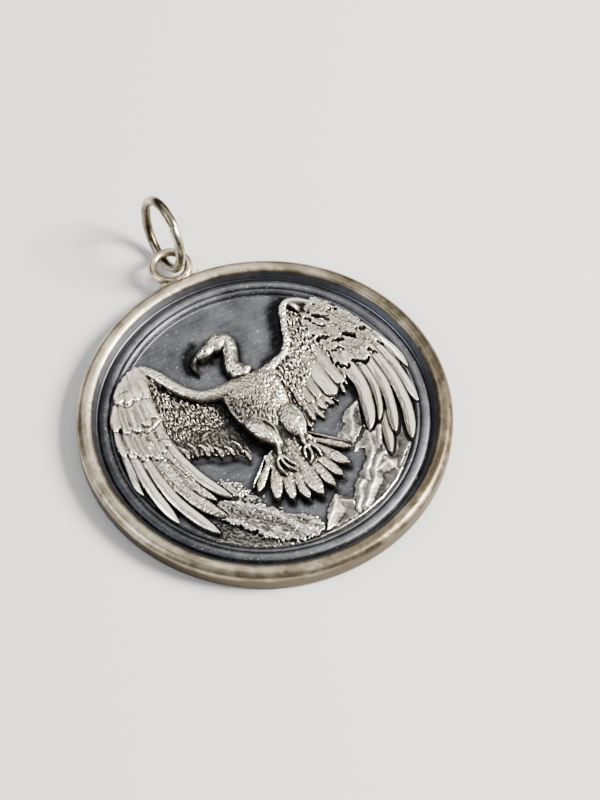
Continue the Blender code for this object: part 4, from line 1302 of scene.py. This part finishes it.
def build_relief():
    """Lays the whole picture and makes its pieces. Returns the relief and its shade on the field."""
    relief = Relief()
    for lay_part in (mountains, left_wing, right_wing, tail, body, paint_hollows_and_shadows):
        lay_part(relief)
    relief.height = blurred(relief.height, 0.035)
    wear_and_light, shade = finish_of(relief)
    bird = patina_metal("relief_silver", (0.014, 0.013, 0.014), (0.46, 0.41, 0.335), (0.97, 0.90, 0.76),
                        0.48, 0.25)
    land = patina_metal("landscape_silver", (0.014, 0.014, 0.016), (0.32, 0.3, 0.27), (0.94, 0.88, 0.76),
                        0.46, 0.28)
    relief_piece(relief, wear_and_light, "slope_left", MOUNTAIN_LEFT, land, "mountain_relief_left")
    relief_piece(relief, wear_and_light, "slope_right", MOUNTAIN_RIGHT, land, "mountain_relief_right")
    for name, owner in [
        ("bird_tail", TAIL), ("bird_left_wing", LEFT_WING), ("bird_left_inner_wing", LEFT_INNER),
        ("bird_right_inner_wing", RIGHT_INNER), ("bird_right_wing", RIGHT_WING), ("bird_body", BODY),
    ]:
        relief_piece(relief, wear_and_light, name, owner, bird, "vulture_relief")
    return relief, shade


# ---------------------------------------------------------------- stage, light and camera

def build_stage():
    """The pale floor, just under the medal."""
    mesh = bpy.data.meshes.new("floor")
    side = 0.8
    mesh.from_pydata([(-side, -side, 0), (side, -side, 0), (side, side, 0), (-side, side, 0)], [],
                     [(0, 1, 2, 3)])
    material = bpy.data.materials.new("pale_floor")
    material.use_nodes = True
    shader = material.node_tree.nodes["Principled BSDF"]
    shader.inputs["Base Color"].default_value = (0.62, 0.61, 0.59, 1)
    shader.inputs["Roughness"].default_value = 0.75
    mesh.materials.append(material)
    floor = bpy.data.objects.new("floor", mesh)
    bpy.context.scene.collection.objects.link(floor)
    floor.location.z = -FLOOR_GAP * MM


def area_light(name, azimuth, elevation, distance, size, power, colour):
    """A soft box that faces the medal, placed by its direction from it in degrees."""
    light = bpy.data.lights.new(name, "AREA")
    light.shape = "RECTANGLE"
    light.size, light.size_y = size
    light.energy = power
    light.color = colour
    obj = bpy.data.objects.new(name, light)
    bpy.context.scene.collection.objects.link(obj)
    a, e = math.radians(azimuth), math.radians(elevation)
    way = Vector((math.cos(a) * math.cos(e), math.sin(a) * math.cos(e), math.sin(e)))
    obj.location = way * distance
    obj.rotation_mode = "QUATERNION"
    obj.rotation_quaternion = way.to_track_quat("Z", "Y")


def build_light():
    """A dim grey room with a small warm key light, a soft overhead light and a cool edge light."""
    world = bpy.data.worlds.new("studio")
    bpy.context.scene.world = world
    world.use_nodes = True
    tree = world.node_tree
    background = tree.nodes["Background"]
    where = tree.nodes.new("ShaderNodeTexCoord").outputs["Generated"]
    split = tree.nodes.new("ShaderNodeSeparateXYZ")
    tree.links.new(where, split.inputs[0])
    tree.links.new(ramp(tree, split.outputs[2], [(0.0, (0.08, 0.08, 0.09)), (0.5, (0.16, 0.16, 0.17)),
                                                (1.0, (0.34, 0.34, 0.34))]), background.inputs[0])
    background.inputs[1].default_value = 0.75
    area_light("key", -28, 40, 0.5, (0.2, 0.2), 13.0, (1.0, 0.95, 0.88))
    area_light("overhead", 62, 60, 0.6, (0.62, 0.5), 1.75, (1.0, 0.98, 0.95))
    area_light("edge", 165, 38, 0.6, (0.3, 0.3), 2.4, (0.9, 0.95, 1.0))


def build_camera():
    """The camera, at the photo's viewing angle."""
    camera = bpy.data.cameras.new("camera")
    camera.lens = CAMERA_LENS
    camera.sensor_width = 36.0
    camera.sensor_fit = "AUTO"
    camera.clip_start = 0.01
    camera.dof.use_dof = False
    obj = bpy.data.objects.new("camera", camera)
    bpy.context.scene.collection.objects.link(obj)
    a, e = math.radians(CAMERA_AZIMUTH), math.radians(CAMERA_ELEVATION)
    back = Vector((math.cos(a) * math.cos(e), math.sin(a) * math.cos(e), math.sin(e)))
    obj.location = (Vector(CAMERA_TARGET) + back * CAMERA_DISTANCE) * MM
    turn = back.to_track_quat("Z", "Y").to_matrix() @ Matrix.Rotation(math.radians(-CAMERA_ROLL), 3, "Z")
    obj.rotation_mode = "QUATERNION"
    obj.rotation_quaternion = turn.to_quaternion()
    bpy.context.scene.camera = obj


build_camera()
build_stage()
build_light()
relief, shade = build_relief()
build_rim()
build_field(relief, shade)
build_eyelet()
build_jump_ring()
